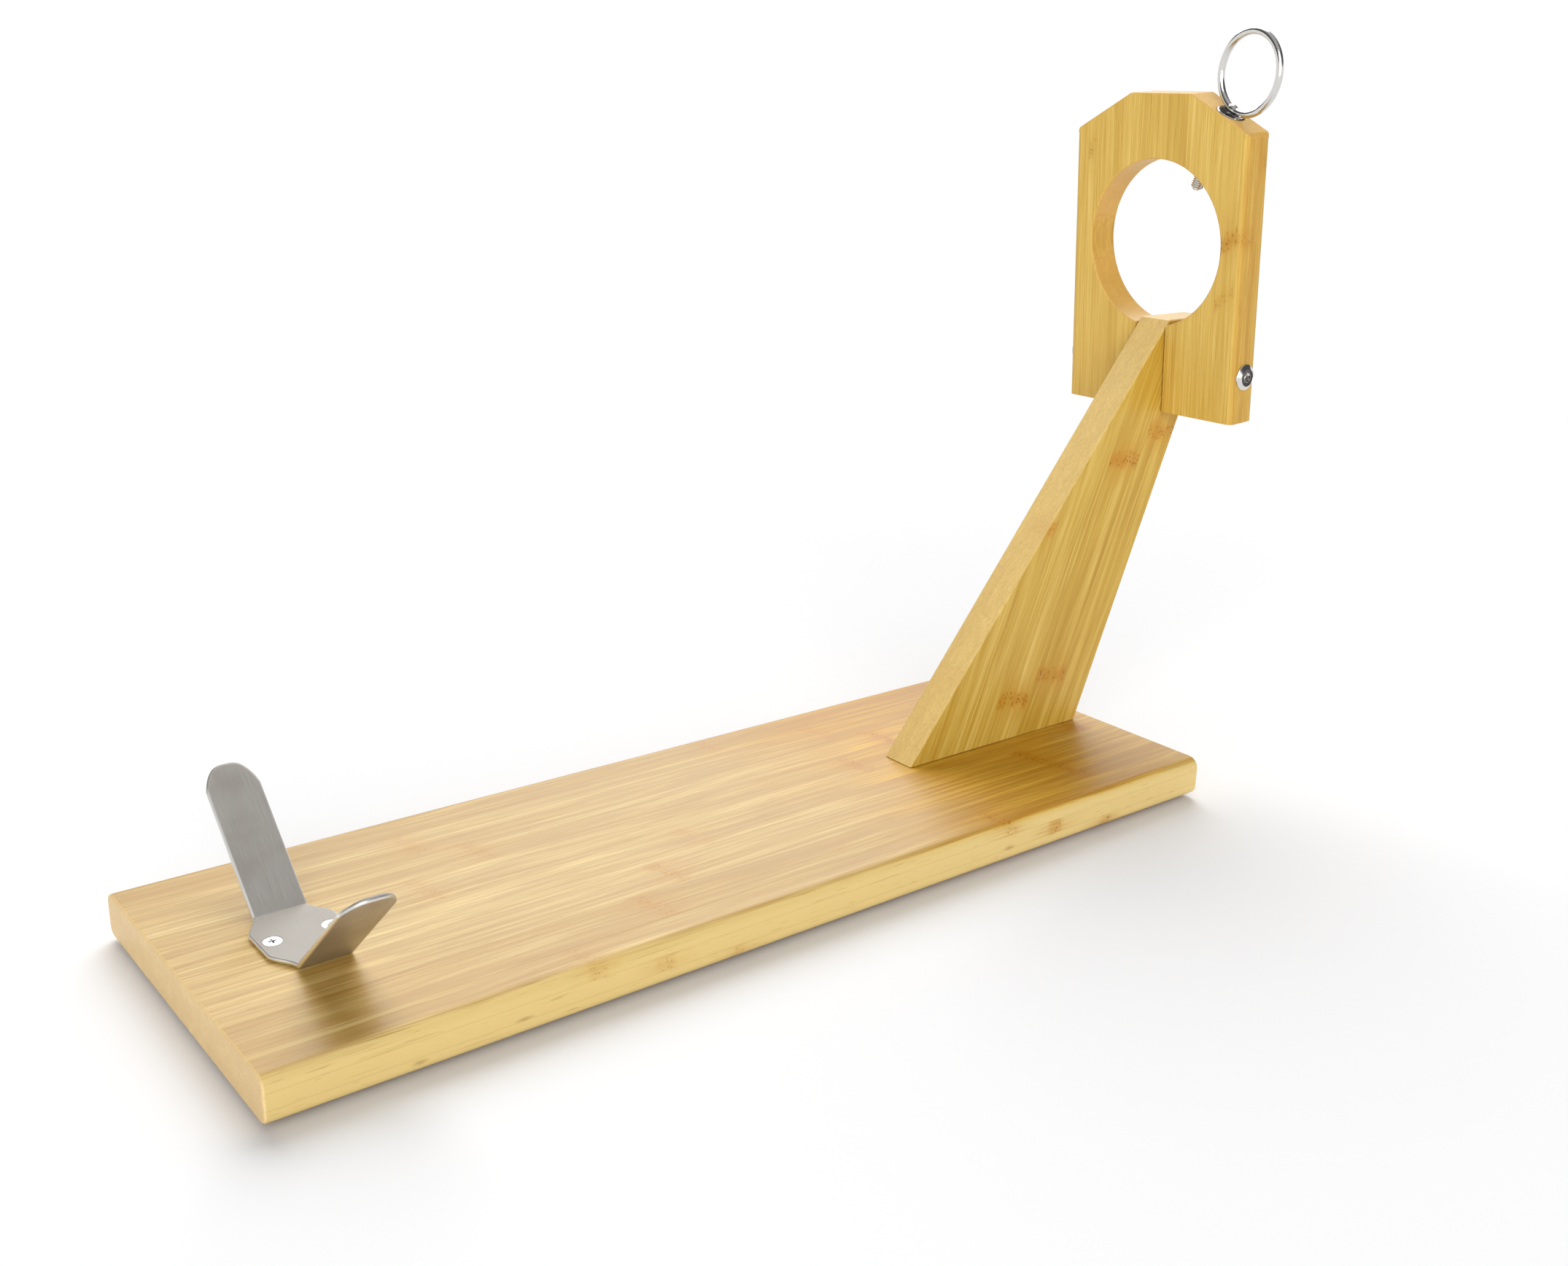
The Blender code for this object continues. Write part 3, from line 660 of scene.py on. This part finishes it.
def make_post(material):
    """The leaning post, with the bores for the pivot and for the screws from below. Its sides run on
    past its foot, where they are cut off level."""
    foot_front, foot_rear, top_rear, top_front = np.array(POST_OUTLINE) * MM
    longer = 0.02
    corners = (
        foot_front + (foot_front - top_front) * longer, foot_rear + (foot_rear - top_rear) * longer,
        top_rear, top_front,
    )
    outline = rounded_corners(corners, [1.2 * MM] * 4, 4)
    matrix = Matrix(((1, 0, 0, FRONT), (0, 0, -1, 0), (0, 1, 0, BOARD_LOW.z), (0, 0, 0, 1)))
    mesh = plate("post", outline, POST_THICK, POST_EDGE_R, matrix, 4)
    under = Matrix.Translation((FRONT + 0.385, 0, BOARD_LOW.z))
    tools = [
        bored("bore", [(0, -12), (3.3, -12), (3.3, 12), (0, 12)], frame_at(PIVOT, (0, 1, 0))),
        prism_tool("under", 4, 0.2, 0, foot_front[1], under),
    ]
    for x in POST_SCREWS:
        below = Matrix.Translation((FRONT + x * MM, 0, BOARD_LOW.z))
        tools.append(bored("bore", [(0, 10), (2.75, 10), (2.75, 52), (0, 53)], below, 32))
    piece("post", cut(mesh, *tools), material, "stand", "bamboo", "post")


def head_outline():
    """The head's rim, counter-clockwise from the slot's far corner, as (across, up), with the radius of
    its edge at each point: wide down the two outer sides, narrow elsewhere, changing over the corners
    between. Its feet run on past the bottom, where they are cut off square."""
    half, slot, foot = HEAD_HALF, SLOT_HALF, HEAD_BOTTOM - 8 * MM
    across, drop = SHOULDER
    reach = math.asin(slot / HOLE_R)
    hole = arc((0, HOLE_UP), HOLE_R, -math.pi / 2 - reach, reach - math.pi / 2 - math.tau, 96)
    turning = 9
    upper = rounded_corners(
        [(half, foot), (half, HEAD_TOP - drop), (half - across, HEAD_TOP),
         (-half + across, HEAD_TOP), (-half, HEAD_TOP - drop), (-half, foot)],
        [1 * MM, 3.4 * MM, 4 * MM, 4 * MM, 3.4 * MM, 1 * MM], turning - 1,
    )[turning:-turning]
    right, left = np.array([(slot, foot), (half, foot)]), np.array([(-half, foot), (-slot, foot)])
    rim = np.concatenate([right, upper, left, hole])
    radius = np.full(len(rim), HEAD_EDGE_R)
    side, side_end = len(right) - 1, len(right) + len(upper)
    radius[[side, side_end]] = HEAD_SIDE_EDGE_R
    narrowing = np.linspace(HEAD_SIDE_EDGE_R, HEAD_EDGE_R, turning)
    radius[side + 1:side + 1 + turning] = narrowing
    radius[side_end - turning:side_end] = narrowing[::-1]
    return rim, radius


def make_head(material):
    """The head plate, bored for the bolt, the cap nut and the clamp screw's insert."""
    rim, radius = head_outline()
    stand_up = frame_at(PIVOT, (0, 0, 1)) @ Matrix.Rotation(HEAD_TILT, 4, "Y")
    # The outline's own x is the part's Y, its y is up and its thickness runs along X.
    facing = Matrix(((0, 0, 1, 0), (1, 0, 0, 0), (0, 1, 0, 0), (0, 0, 0, 1)))
    mesh = plate("head", rim, HEAD_THICK, radius, stand_up @ facing, 6)
    near, far = frame_at(PIVOT, (0, -1, 0)), frame_at(PIVOT, (0, 1, 0))
    clamp = frame_at(CLAMP_AT, CLAMP_AXIS)
    tools = [
        prism_tool("under", 4, 0.2, HEAD_BOTTOM - 30 * MM, HEAD_BOTTOM, stand_up),
        bored("bore", [(0, -1), (3.3, -1), (3.3, 52), (0, 52)], near),
        bored("bore", [(0, -1), (4.5, -1), (4.5, 52), (0, 52)], far),
        bored("bore", [(0, -33), (3.25, -33), (3.25, 2), (0, 2)], clamp),
        bored("bore", [(0, -15.3), (5, -15.3), (5, -1), (6.8, -1), (6.8, 2), (0, 2)], clamp, 64),
    ]
    piece("head", cut(mesh, *tools), material, "head", "bamboo", "head_plate")


# ---------------------------------------------------------------- steel pieces

def flanged(name, node, direction, inner, metal):
    """A turned fastener in the side of the head, from a profile in mm: a flange with a wide bevel round
    a slightly sunk face and a hex socket, then the inner part. The sunk face is darkened with painted shade."""
    face = FLANGE_FACE
    sunk_r = 4.05
    rim = [
        (2.3, face + 1.72), (3.95, face + 1.62), (4.1, face + 1.85), (5.75, face + 0.85),
        (5.98, face + 0.5), (5.98, face),
    ]
    matrix = frame_at(PIVOT, direction)
    mesh = turned(name, np.array([(0, face + 1.7), *rim, *inner]) * MM, matrix, 64)
    key = prism_tool("key", 6, 2.28 * MM, (face - 0.9) * MM, (face + 3) * MM, matrix, 0.8 * MM)
    mesh = cut(mesh, key)
    radius, height = radius_and_height(mesh, matrix)
    # Painted shade on the sunk face round the socket
    store(mesh, "painted_shade", (radius < sunk_r * MM) & (radius > 2.2 * MM) & (height > face * MM))
    piece(name, mesh, metal, "head", "hardware", node)


def make_bolt(metal):
    """The pivot bolt: flanged head with a hex socket, then a plain shank, threaded near its end."""
    face = FLANGE_FACE
    end = face - 80
    heights = np.arange(end + 1, face - 50, 0.1)
    crest = 2.9 - 0.35 * (1 - np.abs((heights % 1) * 2 - 1))
    shank = [(3, face), (3, face - 49), *zip(crest[::-1], heights[::-1]), (2, end), (0, end)]
    flanged("bolt", "pivot_bolt", (0, -1, 0), shank, metal)


def make_cap_nut(metal):
    """The cap nut: the same flange on the far side, and a long bored barrel."""
    face = FLANGE_FACE
    barrel = [
        (4.2, face), (4.2, face - 35.6), (3.9, face - 36), (3.3, face - 36), (3.3, face - 4), (0, face - 4.5),
    ]
    flanged("cap_nut", "pivot_cap_nut", (0, 1, 0), barrel, metal)


def make_insert(metal):
    """The threaded insert: a thin bright rim round a deep mouth darkened with painted shade, over a barbed
    barrel.
    """
    matrix = frame_at(CLAMP_AT, CLAMP_AXIS)
    heights = np.arange(-15, -1.2, 0.15)
    barbs = 4.75 - 0.45 * ((heights / 1.8) % 1)
    profile = [
        (3.3, -2.4), (4.2, -1.4), (5.0, -0.1), (5.4, 0.28), (5.8, 0.42), (6.1, 0.42), (6.45, 0.15),
        (6.5, -0.6), (4.75, -0.7), *zip(barbs[::-1], heights[::-1]), (4.2, -15), (3.3, -15),
    ]
    mesh = turned("insert", np.array(profile) * MM, matrix, 64, closed=True)
    radius, height = radius_and_height(mesh, matrix)
    # Painted shade in the mouth
    store(mesh, "painted_shade", 0.9 * ((radius < 5.1 * MM) & (height > -2.9 * MM)))
    piece("insert", mesh, metal, "head", "hardware", "threaded_insert")


def make_rod(metal):
    """The clamp screw. Its thread is a helix: the radius at height h and angle a falls by up to the
    thread's depth as the fraction of h / pitch - a / turn nears a half."""
    matrix = frame_at(CLAMP_AT, CLAMP_AXIS)
    pitch, depth, low = 1.0, 0.62, -38
    height = np.linspace(low, -2.4, 430)
    h, a = np.meshgrid(height, np.linspace(0, math.tau, 40, endpoint=False), indexing="ij")
    share = (h / pitch - a / math.tau) % 1
    ridge = 2.98 - depth * np.clip(1.25 - np.abs(share * 2 - 1) * 1.6, 0, 1)
    tip = np.clip((h - low) / 1.6, 0, 1)
    thread = np.minimum(ridge, 1.7 + 1.28 * tip)
    below, above = [(0, low - 0.15), (1.2, low - 0.12)], [(2.3, -2.1), (2.1, -1.8), (2.1, -0.5), (0, -0.3)]
    mesh = rod_mesh("rod", below, thread, height, above, matrix)
    level = radius_and_height(mesh, matrix)[1]
    # Painted shade on the screw's end down in the insert's mouth
    store(mesh, "painted_shade", 0.8 * ((level > -4 * MM) & (level < 0.2 * MM)))
    piece("rod", mesh, metal, "clamp", "hardware", "clamp_screw", sharp=50)


def make_ring(metal):
    """The pull ring: wire of circular section round a circle, with the weld bead where it meets the
    screw. The wire swells by a bell curve of the distance along it from the weld, and ripples there."""
    turn = frame_at(CLAMP_AT + CLAMP_AXIS * RING_OUT, CLAMP_AXIS) @ Matrix.Rotation(RING_TURN, 4, "Z")
    around = np.linspace(0, math.tau, 256, endpoint=False)
    wire = np.linspace(0, math.tau, 32, endpoint=False)
    u, v = np.meshgrid(around, wire, indexing="ij")
    # u = 0 is the bottom of the ring, next to the screw
    run = RING_R * ((u + math.pi) % math.tau - math.pi)
    bell = np.exp(-((run / (1.7 * MM)) ** 4))
    ripple = 1 + 0.05 * np.sin(run / MM * 5.0 + 2 * v) + 0.04 * np.sin(3 * v + 1.3)
    swell = 1 + 0.36 * bell * ripple
    side, out = WIRE_R * np.sin(v) * swell, WIRE_R * np.cos(v)
    out = np.where(out < 0, out * swell, out)
    radius = RING_R + out
    points = np.stack([side, radius * np.sin(u), -radius * np.cos(u)], -1)
    faces = grid_faces(len(around), len(wire), close_rows=True)
    mesh = mesh_of("ring", moved(points.reshape(-1, 3), turn), faces)
    piece("ring", mesh, metal, "ring", "hardware", "pull_ring", sharp=60)


def cradle_half_width(along):
    """Half the strip's width at a developed distance from its middle: a smooth flare over the flat."""
    share = np.clip((CRADLE_FLAT - np.abs(along)) / (0.62 * CRADLE_FLAT), 0, 1)
    return CRADLE_HALF + CRADLE_FLARE * share ** 2 * (3 - 2 * share)


def cradle_level(along, lift):
    """(y, z) of the folded strip at a developed distance from its middle, lifted off its underside: a
    flat, an arc of the bend's radius about its own centre, then the straight wing."""
    sign, distance = np.sign(along), np.abs(along)
    turn = math.pi / 2 - WING_LEAN
    start = CRADLE_FLAT - CRADLE_BEND_R * math.tan(turn / 2)
    angle = np.clip((distance - start) / CRADLE_BEND_R, 0, turn)
    rest = np.maximum(distance - start - CRADLE_BEND_R * turn, 0)
    y = np.minimum(distance, start) + CRADLE_BEND_R * np.sin(angle) + rest * math.cos(turn)
    z = CRADLE_BEND_R * (1 - np.cos(angle)) + rest * math.sin(turn)
    return sign * (y - lift * np.sin(angle)), z + lift * np.cos(angle)


def make_cradle(metal):
    """The cradle: a strip on a grid of (along, across), folded by cradle_level, with a closed rim whose
    edges are rounded. Its ends bow by a power of the place across."""
    edge = 0.85 * MM
    turn = math.pi / 2 - WING_LEAN
    bend_end = CRADLE_FLAT + CRADLE_BEND_R
    half = np.concatenate([
        np.linspace(0, 0.88 * CRADLE_FLAT, 30), np.linspace(0.89 * CRADLE_FLAT, bend_end, 16),
        bend_end + (WING_LENGTH + CRADLE_FLAT - bend_end) * (1 - (1 - np.linspace(0.03, 1, 40)) ** 1.4),
    ])
    stations = np.concatenate([-half[:0:-1], half])
    across = np.sin(np.linspace(-math.pi / 2, math.pi / 2, 49))

    def sheet(inset, lift):
        s, t = np.meshgrid(stations, across, indexing="ij")
        bow = WING_BOW * np.abs(t) ** WING_BOW_POWER
        share = np.clip((np.abs(s) - bend_end) / (half[-1] - bend_end), 0, 1)
        s = s - np.sign(s) * share * (bow + inset)
        x = t * (cradle_half_width(s) - inset)
        y, z = cradle_level(s, lift)
        return np.stack([x, y, z], -1)

    rows, columns = len(stations), len(across)
    rim = np.concatenate([
        np.arange(columns), np.arange(1, rows) * columns + columns - 1,
        (rows - 1) * columns + np.arange(columns - 2, -1, -1), np.arange(rows - 2, 0, -1) * columns,
    ])
    bottom, top = sheet(edge, 0).reshape(-1, 3), sheet(edge, CRADLE_THICK).reshape(-1, 3)
    loops = [bottom[rim]]
    for a in np.linspace(math.pi / 8, math.pi / 2, 4):
        loops.append(sheet(edge * (1 - math.sin(a)), edge * (1 - math.cos(a))).reshape(-1, 3)[rim])
    for a in np.linspace(math.pi / 2, math.pi / 8, 4):
        lift = CRADLE_THICK - edge * (1 - math.cos(a))
        loops.append(sheet(edge * (1 - math.sin(a)), lift).reshape(-1, 3)[rim])
    loops.append(top[rim])
    skin = grid_faces(rows, columns, close_columns=False)
    points = np.concatenate([bottom, top, *loops])
    rounds = grid_faces(len(loops), len(rim))
    faces = np.concatenate([skin, skin + len(bottom), rounds + 2 * len(bottom)])
    mesh = mesh_of("cradle", moved(points, Matrix.Translation(CRADLE_SEAT)), faces)
    tools = []
    for side in (-1, 1):
        at = Matrix.Translation(CRADLE_SEAT + (side * CRADLE_SCREW_OFF, 0, 0))
        tools.append(bored("hole", [(0, -1), (2, -1), (2, 0.3), (3.9, 2.2), (3.9, 4), (0, 4)], at))
    mesh = cut(mesh, *tools)
    # Painted highlight along the rim: within a little over a millimetre of the strip's outline
    found = points_of(mesh) - CRADLE_SEAT
    start = CRADLE_FLAT - CRADLE_BEND_R * math.tan(turn / 2)
    run = np.abs(found[:, 1])
    wing = start + CRADLE_BEND_R * turn + (run - start - CRADLE_BEND_R * math.sin(turn)) / math.cos(turn)
    run = np.where(run > start, wing, run)
    sideways = np.abs(found[:, 0])
    end_room = half[-1] - WING_BOW * np.clip(sideways / CRADLE_HALF, 0, 1) ** WING_BOW_POWER - run
    room = np.minimum(cradle_half_width(run) - sideways, end_room)
    store(mesh, "rim", np.clip(1.25 - room / (0.9 * MM), 0, 1))
    piece("cradle_sheet", mesh, metal, "stand", "satin_steel", "cradle", sharp=40)


def wood_screw(name, node, matrix, head_r, shank_r, head_deep, length, metal):
    """A countersunk wood screw along -Z, with a cross recess and a coarse helical thread."""
    height = np.linspace(-length + 0.2, -head_deep - 1, int(length * 9))
    h, a = np.meshgrid(height, np.linspace(0, math.tau, 28, endpoint=False), indexing="ij")
    share = (h / (0.9 * shank_r) - a / math.tau) % 1
    taper = np.clip((h + length) / (2.6 * shank_r), 0, 1) ** 0.8
    thread = shank_r * taper * (0.66 + 0.34 * np.clip(1 - np.abs(share * 2 - 1) * 2.4, 0, 1))
    above = [
        (0.7 * shank_r, -head_deep - 0.6), (0.9 * shank_r, -head_deep), (head_r, -0.25), (head_r, -0.08),
        (head_r - 0.12, 0), (0, 0),
    ]
    mesh = rod_mesh(name, [(0, -length)], thread, height, above, matrix)
    blade, narrow, deep = 0.55 * head_r, 0.11 * head_r, 0.75 * head_deep
    tools = []
    for quarter in (0, math.pi / 2):
        c, s = math.cos(quarter), math.sin(quarter)
        box = [
            ((x * c - y * s) * MM, (x * s + y * c) * MM, z * MM)
            for z, reach in ((-deep, 0.35 * blade), (0.5, blade))
            for x, y in ((-reach, -narrow), (reach, -narrow), (reach, narrow), (-reach, narrow))
        ]
        tools.append(mesh_of("blade", moved(box, matrix), grid_faces(2, 4), ((3, 2, 1, 0), (4, 5, 6, 7))))
    mesh = cut(mesh, *tools)
    radius, level = radius_and_height(mesh, matrix)
    recess = (radius < 0.6 * head_r * MM) & (level < -0.15 * MM) & (level > -1.1 * deep * MM)
    # Painted shade in the cross recess
    store(mesh, "painted_shade", 0.85 * recess)
    piece(name, mesh, metal, "stand", "hardware", node, sharp=45)


def make_screws(metal):
    over = Matrix.Rotation(math.pi, 4, "X")
    for end, x in zip(("front", "rear"), POST_SCREWS):
        at = Matrix.Translation((FRONT + x * MM, 0, BOARD_LOW.z + 0.35 * MM)) @ over
        wood_screw("post_fixing_" + end, "post_screw_" + end, at, 4.8, 2.45, 3.0, 50, metal)
    for end, side in (("front", -1), ("rear", 1)):
        at = Matrix.Translation(CRADLE_SEAT + (side * CRADLE_SCREW_OFF, 0, 1.95 * MM))
        wood_screw("cradle_fixing_" + end, "cradle_screw_" + end, at, 3.5, 1.75, 2.2, 15, metal)


def make_feet(rubber):
    """Anti-slip pads: a shallow disc with a rounded lower rim and a slightly hollow underside."""
    bend = arc((7.3, 0.7), 0.7, -math.pi / 2, 0, 6)
    profile = [(0, 0.25), (5.2, 0.2), (6.4, 0.0), *bend.tolist(), (8, 1.7), (0, 1.7)]
    for end in ("front", "rear"):
        for side in ("near", "far"):
            node = "foot_%s_%s" % (end, side)
            low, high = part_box(node)
            at = Matrix.Translation(((low.x + high.x) / 2, (low.y + high.y) / 2, 0))
            mesh = turned("pad_%s_%s" % (end, side), np.array(profile) * MM, at, 64)
            piece("pad_%s_%s" % (end, side), mesh, rubber, "stand", "rubber_foot", node)


# ---------------------------------------------------------------- studio

CAMERA_AT = (FRONT - 147.9 * MM, -523.5 * MM, 313.6 * MM)
CAMERA_HEADING = math.radians(51.886)
CAMERA_DOWN = math.radians(18.162)
CAMERA_ROLL = math.radians(1.208)
CAMERA_LENS = 38.035
WORLD_LIGHT = 1.02
# Each light: the way to it, its strength and its spread in degrees
KEY_LIGHT = ((0.38, 0.60, 0.71), 2.85, 50)
FRONT_LIGHT = ((-0.62, -0.75, 0.28), 2.4, 60)
FLOOR_R = 16
FLOOR_SHADE = 0.82


def make_camera():
    data = bpy.data.cameras.new("camera")
    data.sensor_width = 36
    data.lens = CAMERA_LENS
    data.clip_start = 0.01
    camera = bpy.data.objects.new("camera", data)
    bpy.context.scene.collection.objects.link(camera)
    camera.matrix_world = (
        Matrix.Translation(CAMERA_AT)
        @ Matrix.Rotation(CAMERA_HEADING - math.pi / 2, 4, "Z")
        @ Matrix.Rotation(math.pi / 2 - CAMERA_DOWN, 4, "X")
        @ Matrix.Rotation(CAMERA_ROLL, 4, "Z")
    )
    bpy.context.scene.camera = camera


def soft_sun(name, towards_light, strength, spread):
    """A broad distant light: even over the whole floor, with shadows that soften with its spread."""
    data = bpy.data.lights.new(name, "SUN")
    data.energy = strength
    data.angle = math.radians(spread)
    light = bpy.data.objects.new(name, data)
    bpy.context.scene.collection.objects.link(light)
    light.rotation_euler = Vector(towards_light).to_track_quat("Z", "Y").to_euler()


def make_studio():
    """A wide pale floor under a soft sky: white round the horizon, grey above it, paler overhead and
    darker to both sides, so that bright metal has something to mirror."""
    n = Nodes("floor")
    n.finish(base_color=(FLOOR_SHADE, FLOOR_SHADE, FLOOR_SHADE, 1), roughness=0.9, specular_ior_level=0.1)
    mesh = turned("floor", [(0, 0), (1, 0), (4, 0), (FLOOR_R, 0)], Matrix.Identity(4), 96)
    mesh.materials.append(n.owner)
    floor = bpy.data.objects.new("floor", mesh)
    bpy.context.scene.collection.objects.link(floor)

    n = Nodes("studio", world=True)
    bpy.context.scene.world = n.owner
    direction = n.source()["Generated"]
    up = n.split(direction)["Z"]
    white, grey, zenith = (1, 1, 1, 1), (0.22, 0.22, 0.23, 1), (0.48, 0.48, 0.49, 1)
    sky = n.ramp(up, (0.21, white), (0.30, grey), (0.62, grey), (0.74, zenith))[0]
    sideways = n.dot(direction, (math.sin(CAMERA_HEADING), -math.cos(CAMERA_HEADING), 0))
    flank = n.steps(n.maths("ABSOLUTE", sideways), 0.50, 0.64)
    flank = n.times(flank, n.steps(up, 0.21, 0.27))
    n.put(n.shader.inputs["Color"], n.mix(flank, sky, (0.09, 0.09, 0.095, 1)))
    n.shader.inputs["Strength"].default_value = WORLD_LIGHT
    soft_sun("key", *KEY_LIGHT)
    soft_sun("front", *FRONT_LIGHT)


def main():
    board_origin = (FRONT, BOARD_SEAM, BOARD_TOP - 5.9 * MM)
    # Painted light on the board's sideways faces, and painted warm shade on its top round the post
    board = bamboo(
        "board_bamboo", 0, board_origin, BOARD_STRIP, BOARD_PLY, ("Y", "Z"), BOARD_JOINTS, BOARD_TONES,
        sides=0.72, warm=BOARD_WARM_SHADE, knots=BOARD_KNOTS,
    )
    seat = Vector((FRONT, 0, BOARD_LOW.z))
    rearwards = Vector((math.sin(POST_GRAIN), 0, -math.cos(POST_GRAIN)))
    post_origin = seat + rearwards * 403 * MM + Vector((0, -9.3 * MM, 0))
    post = bamboo(
        "post_bamboo", POST_GRAIN, post_origin, POST_STRIP, POST_PLY, ("Z", "Y"), POST_JOINTS, POST_TONES,
        width=0.75, vivid=0.9,
    )
    head_origin = PIVOT + Vector((0, -10 * HEAD_STRIP, 0))
    head_joints = [HEAD_JOINTS.get(i, UNMARKED) for i in range(20)]
    # Painted shade on the head's sideways faces
    head = bamboo(
        "head_bamboo", math.pi / 2 - HEAD_TILT, head_origin, HEAD_STRIP, HEAD_PLY, ("Y", "Z"), head_joints,
        HEAD_TONES, width=0.55, vivid=0.66, sides=-0.30,
    )
    bright = plated("bright_plating", srgb(216, 214, 211), 0.07, 0.17)

    make_board(board)
    make_post(post)
    make_head(head)
    for make in (make_bolt, make_cap_nut, make_insert, make_rod, make_ring):
        make(bright)
    make_cradle(satin_sheet())
    make_screws(plated("screw_plating", srgb(206, 206, 210), 0.14, 0.30))
    make_feet(soft_rubber())
    dowel = bamboo(
        "dowel_wood", math.pi / 2, (0, 0, 0), 0.5, 0.5, ("Y", "Z"), [UNMARKED, UNMARKED], BOARD_TONES,
    )
    for end in ("front", "rear"):
        frame["nodes"]["post_dowel_" + end].data.materials.clear()
        frame["nodes"]["post_dowel_" + end].data.materials.append(dowel)


bpy.context.scene.view_settings.view_transform = "Standard"
make_camera()
make_studio()
main()
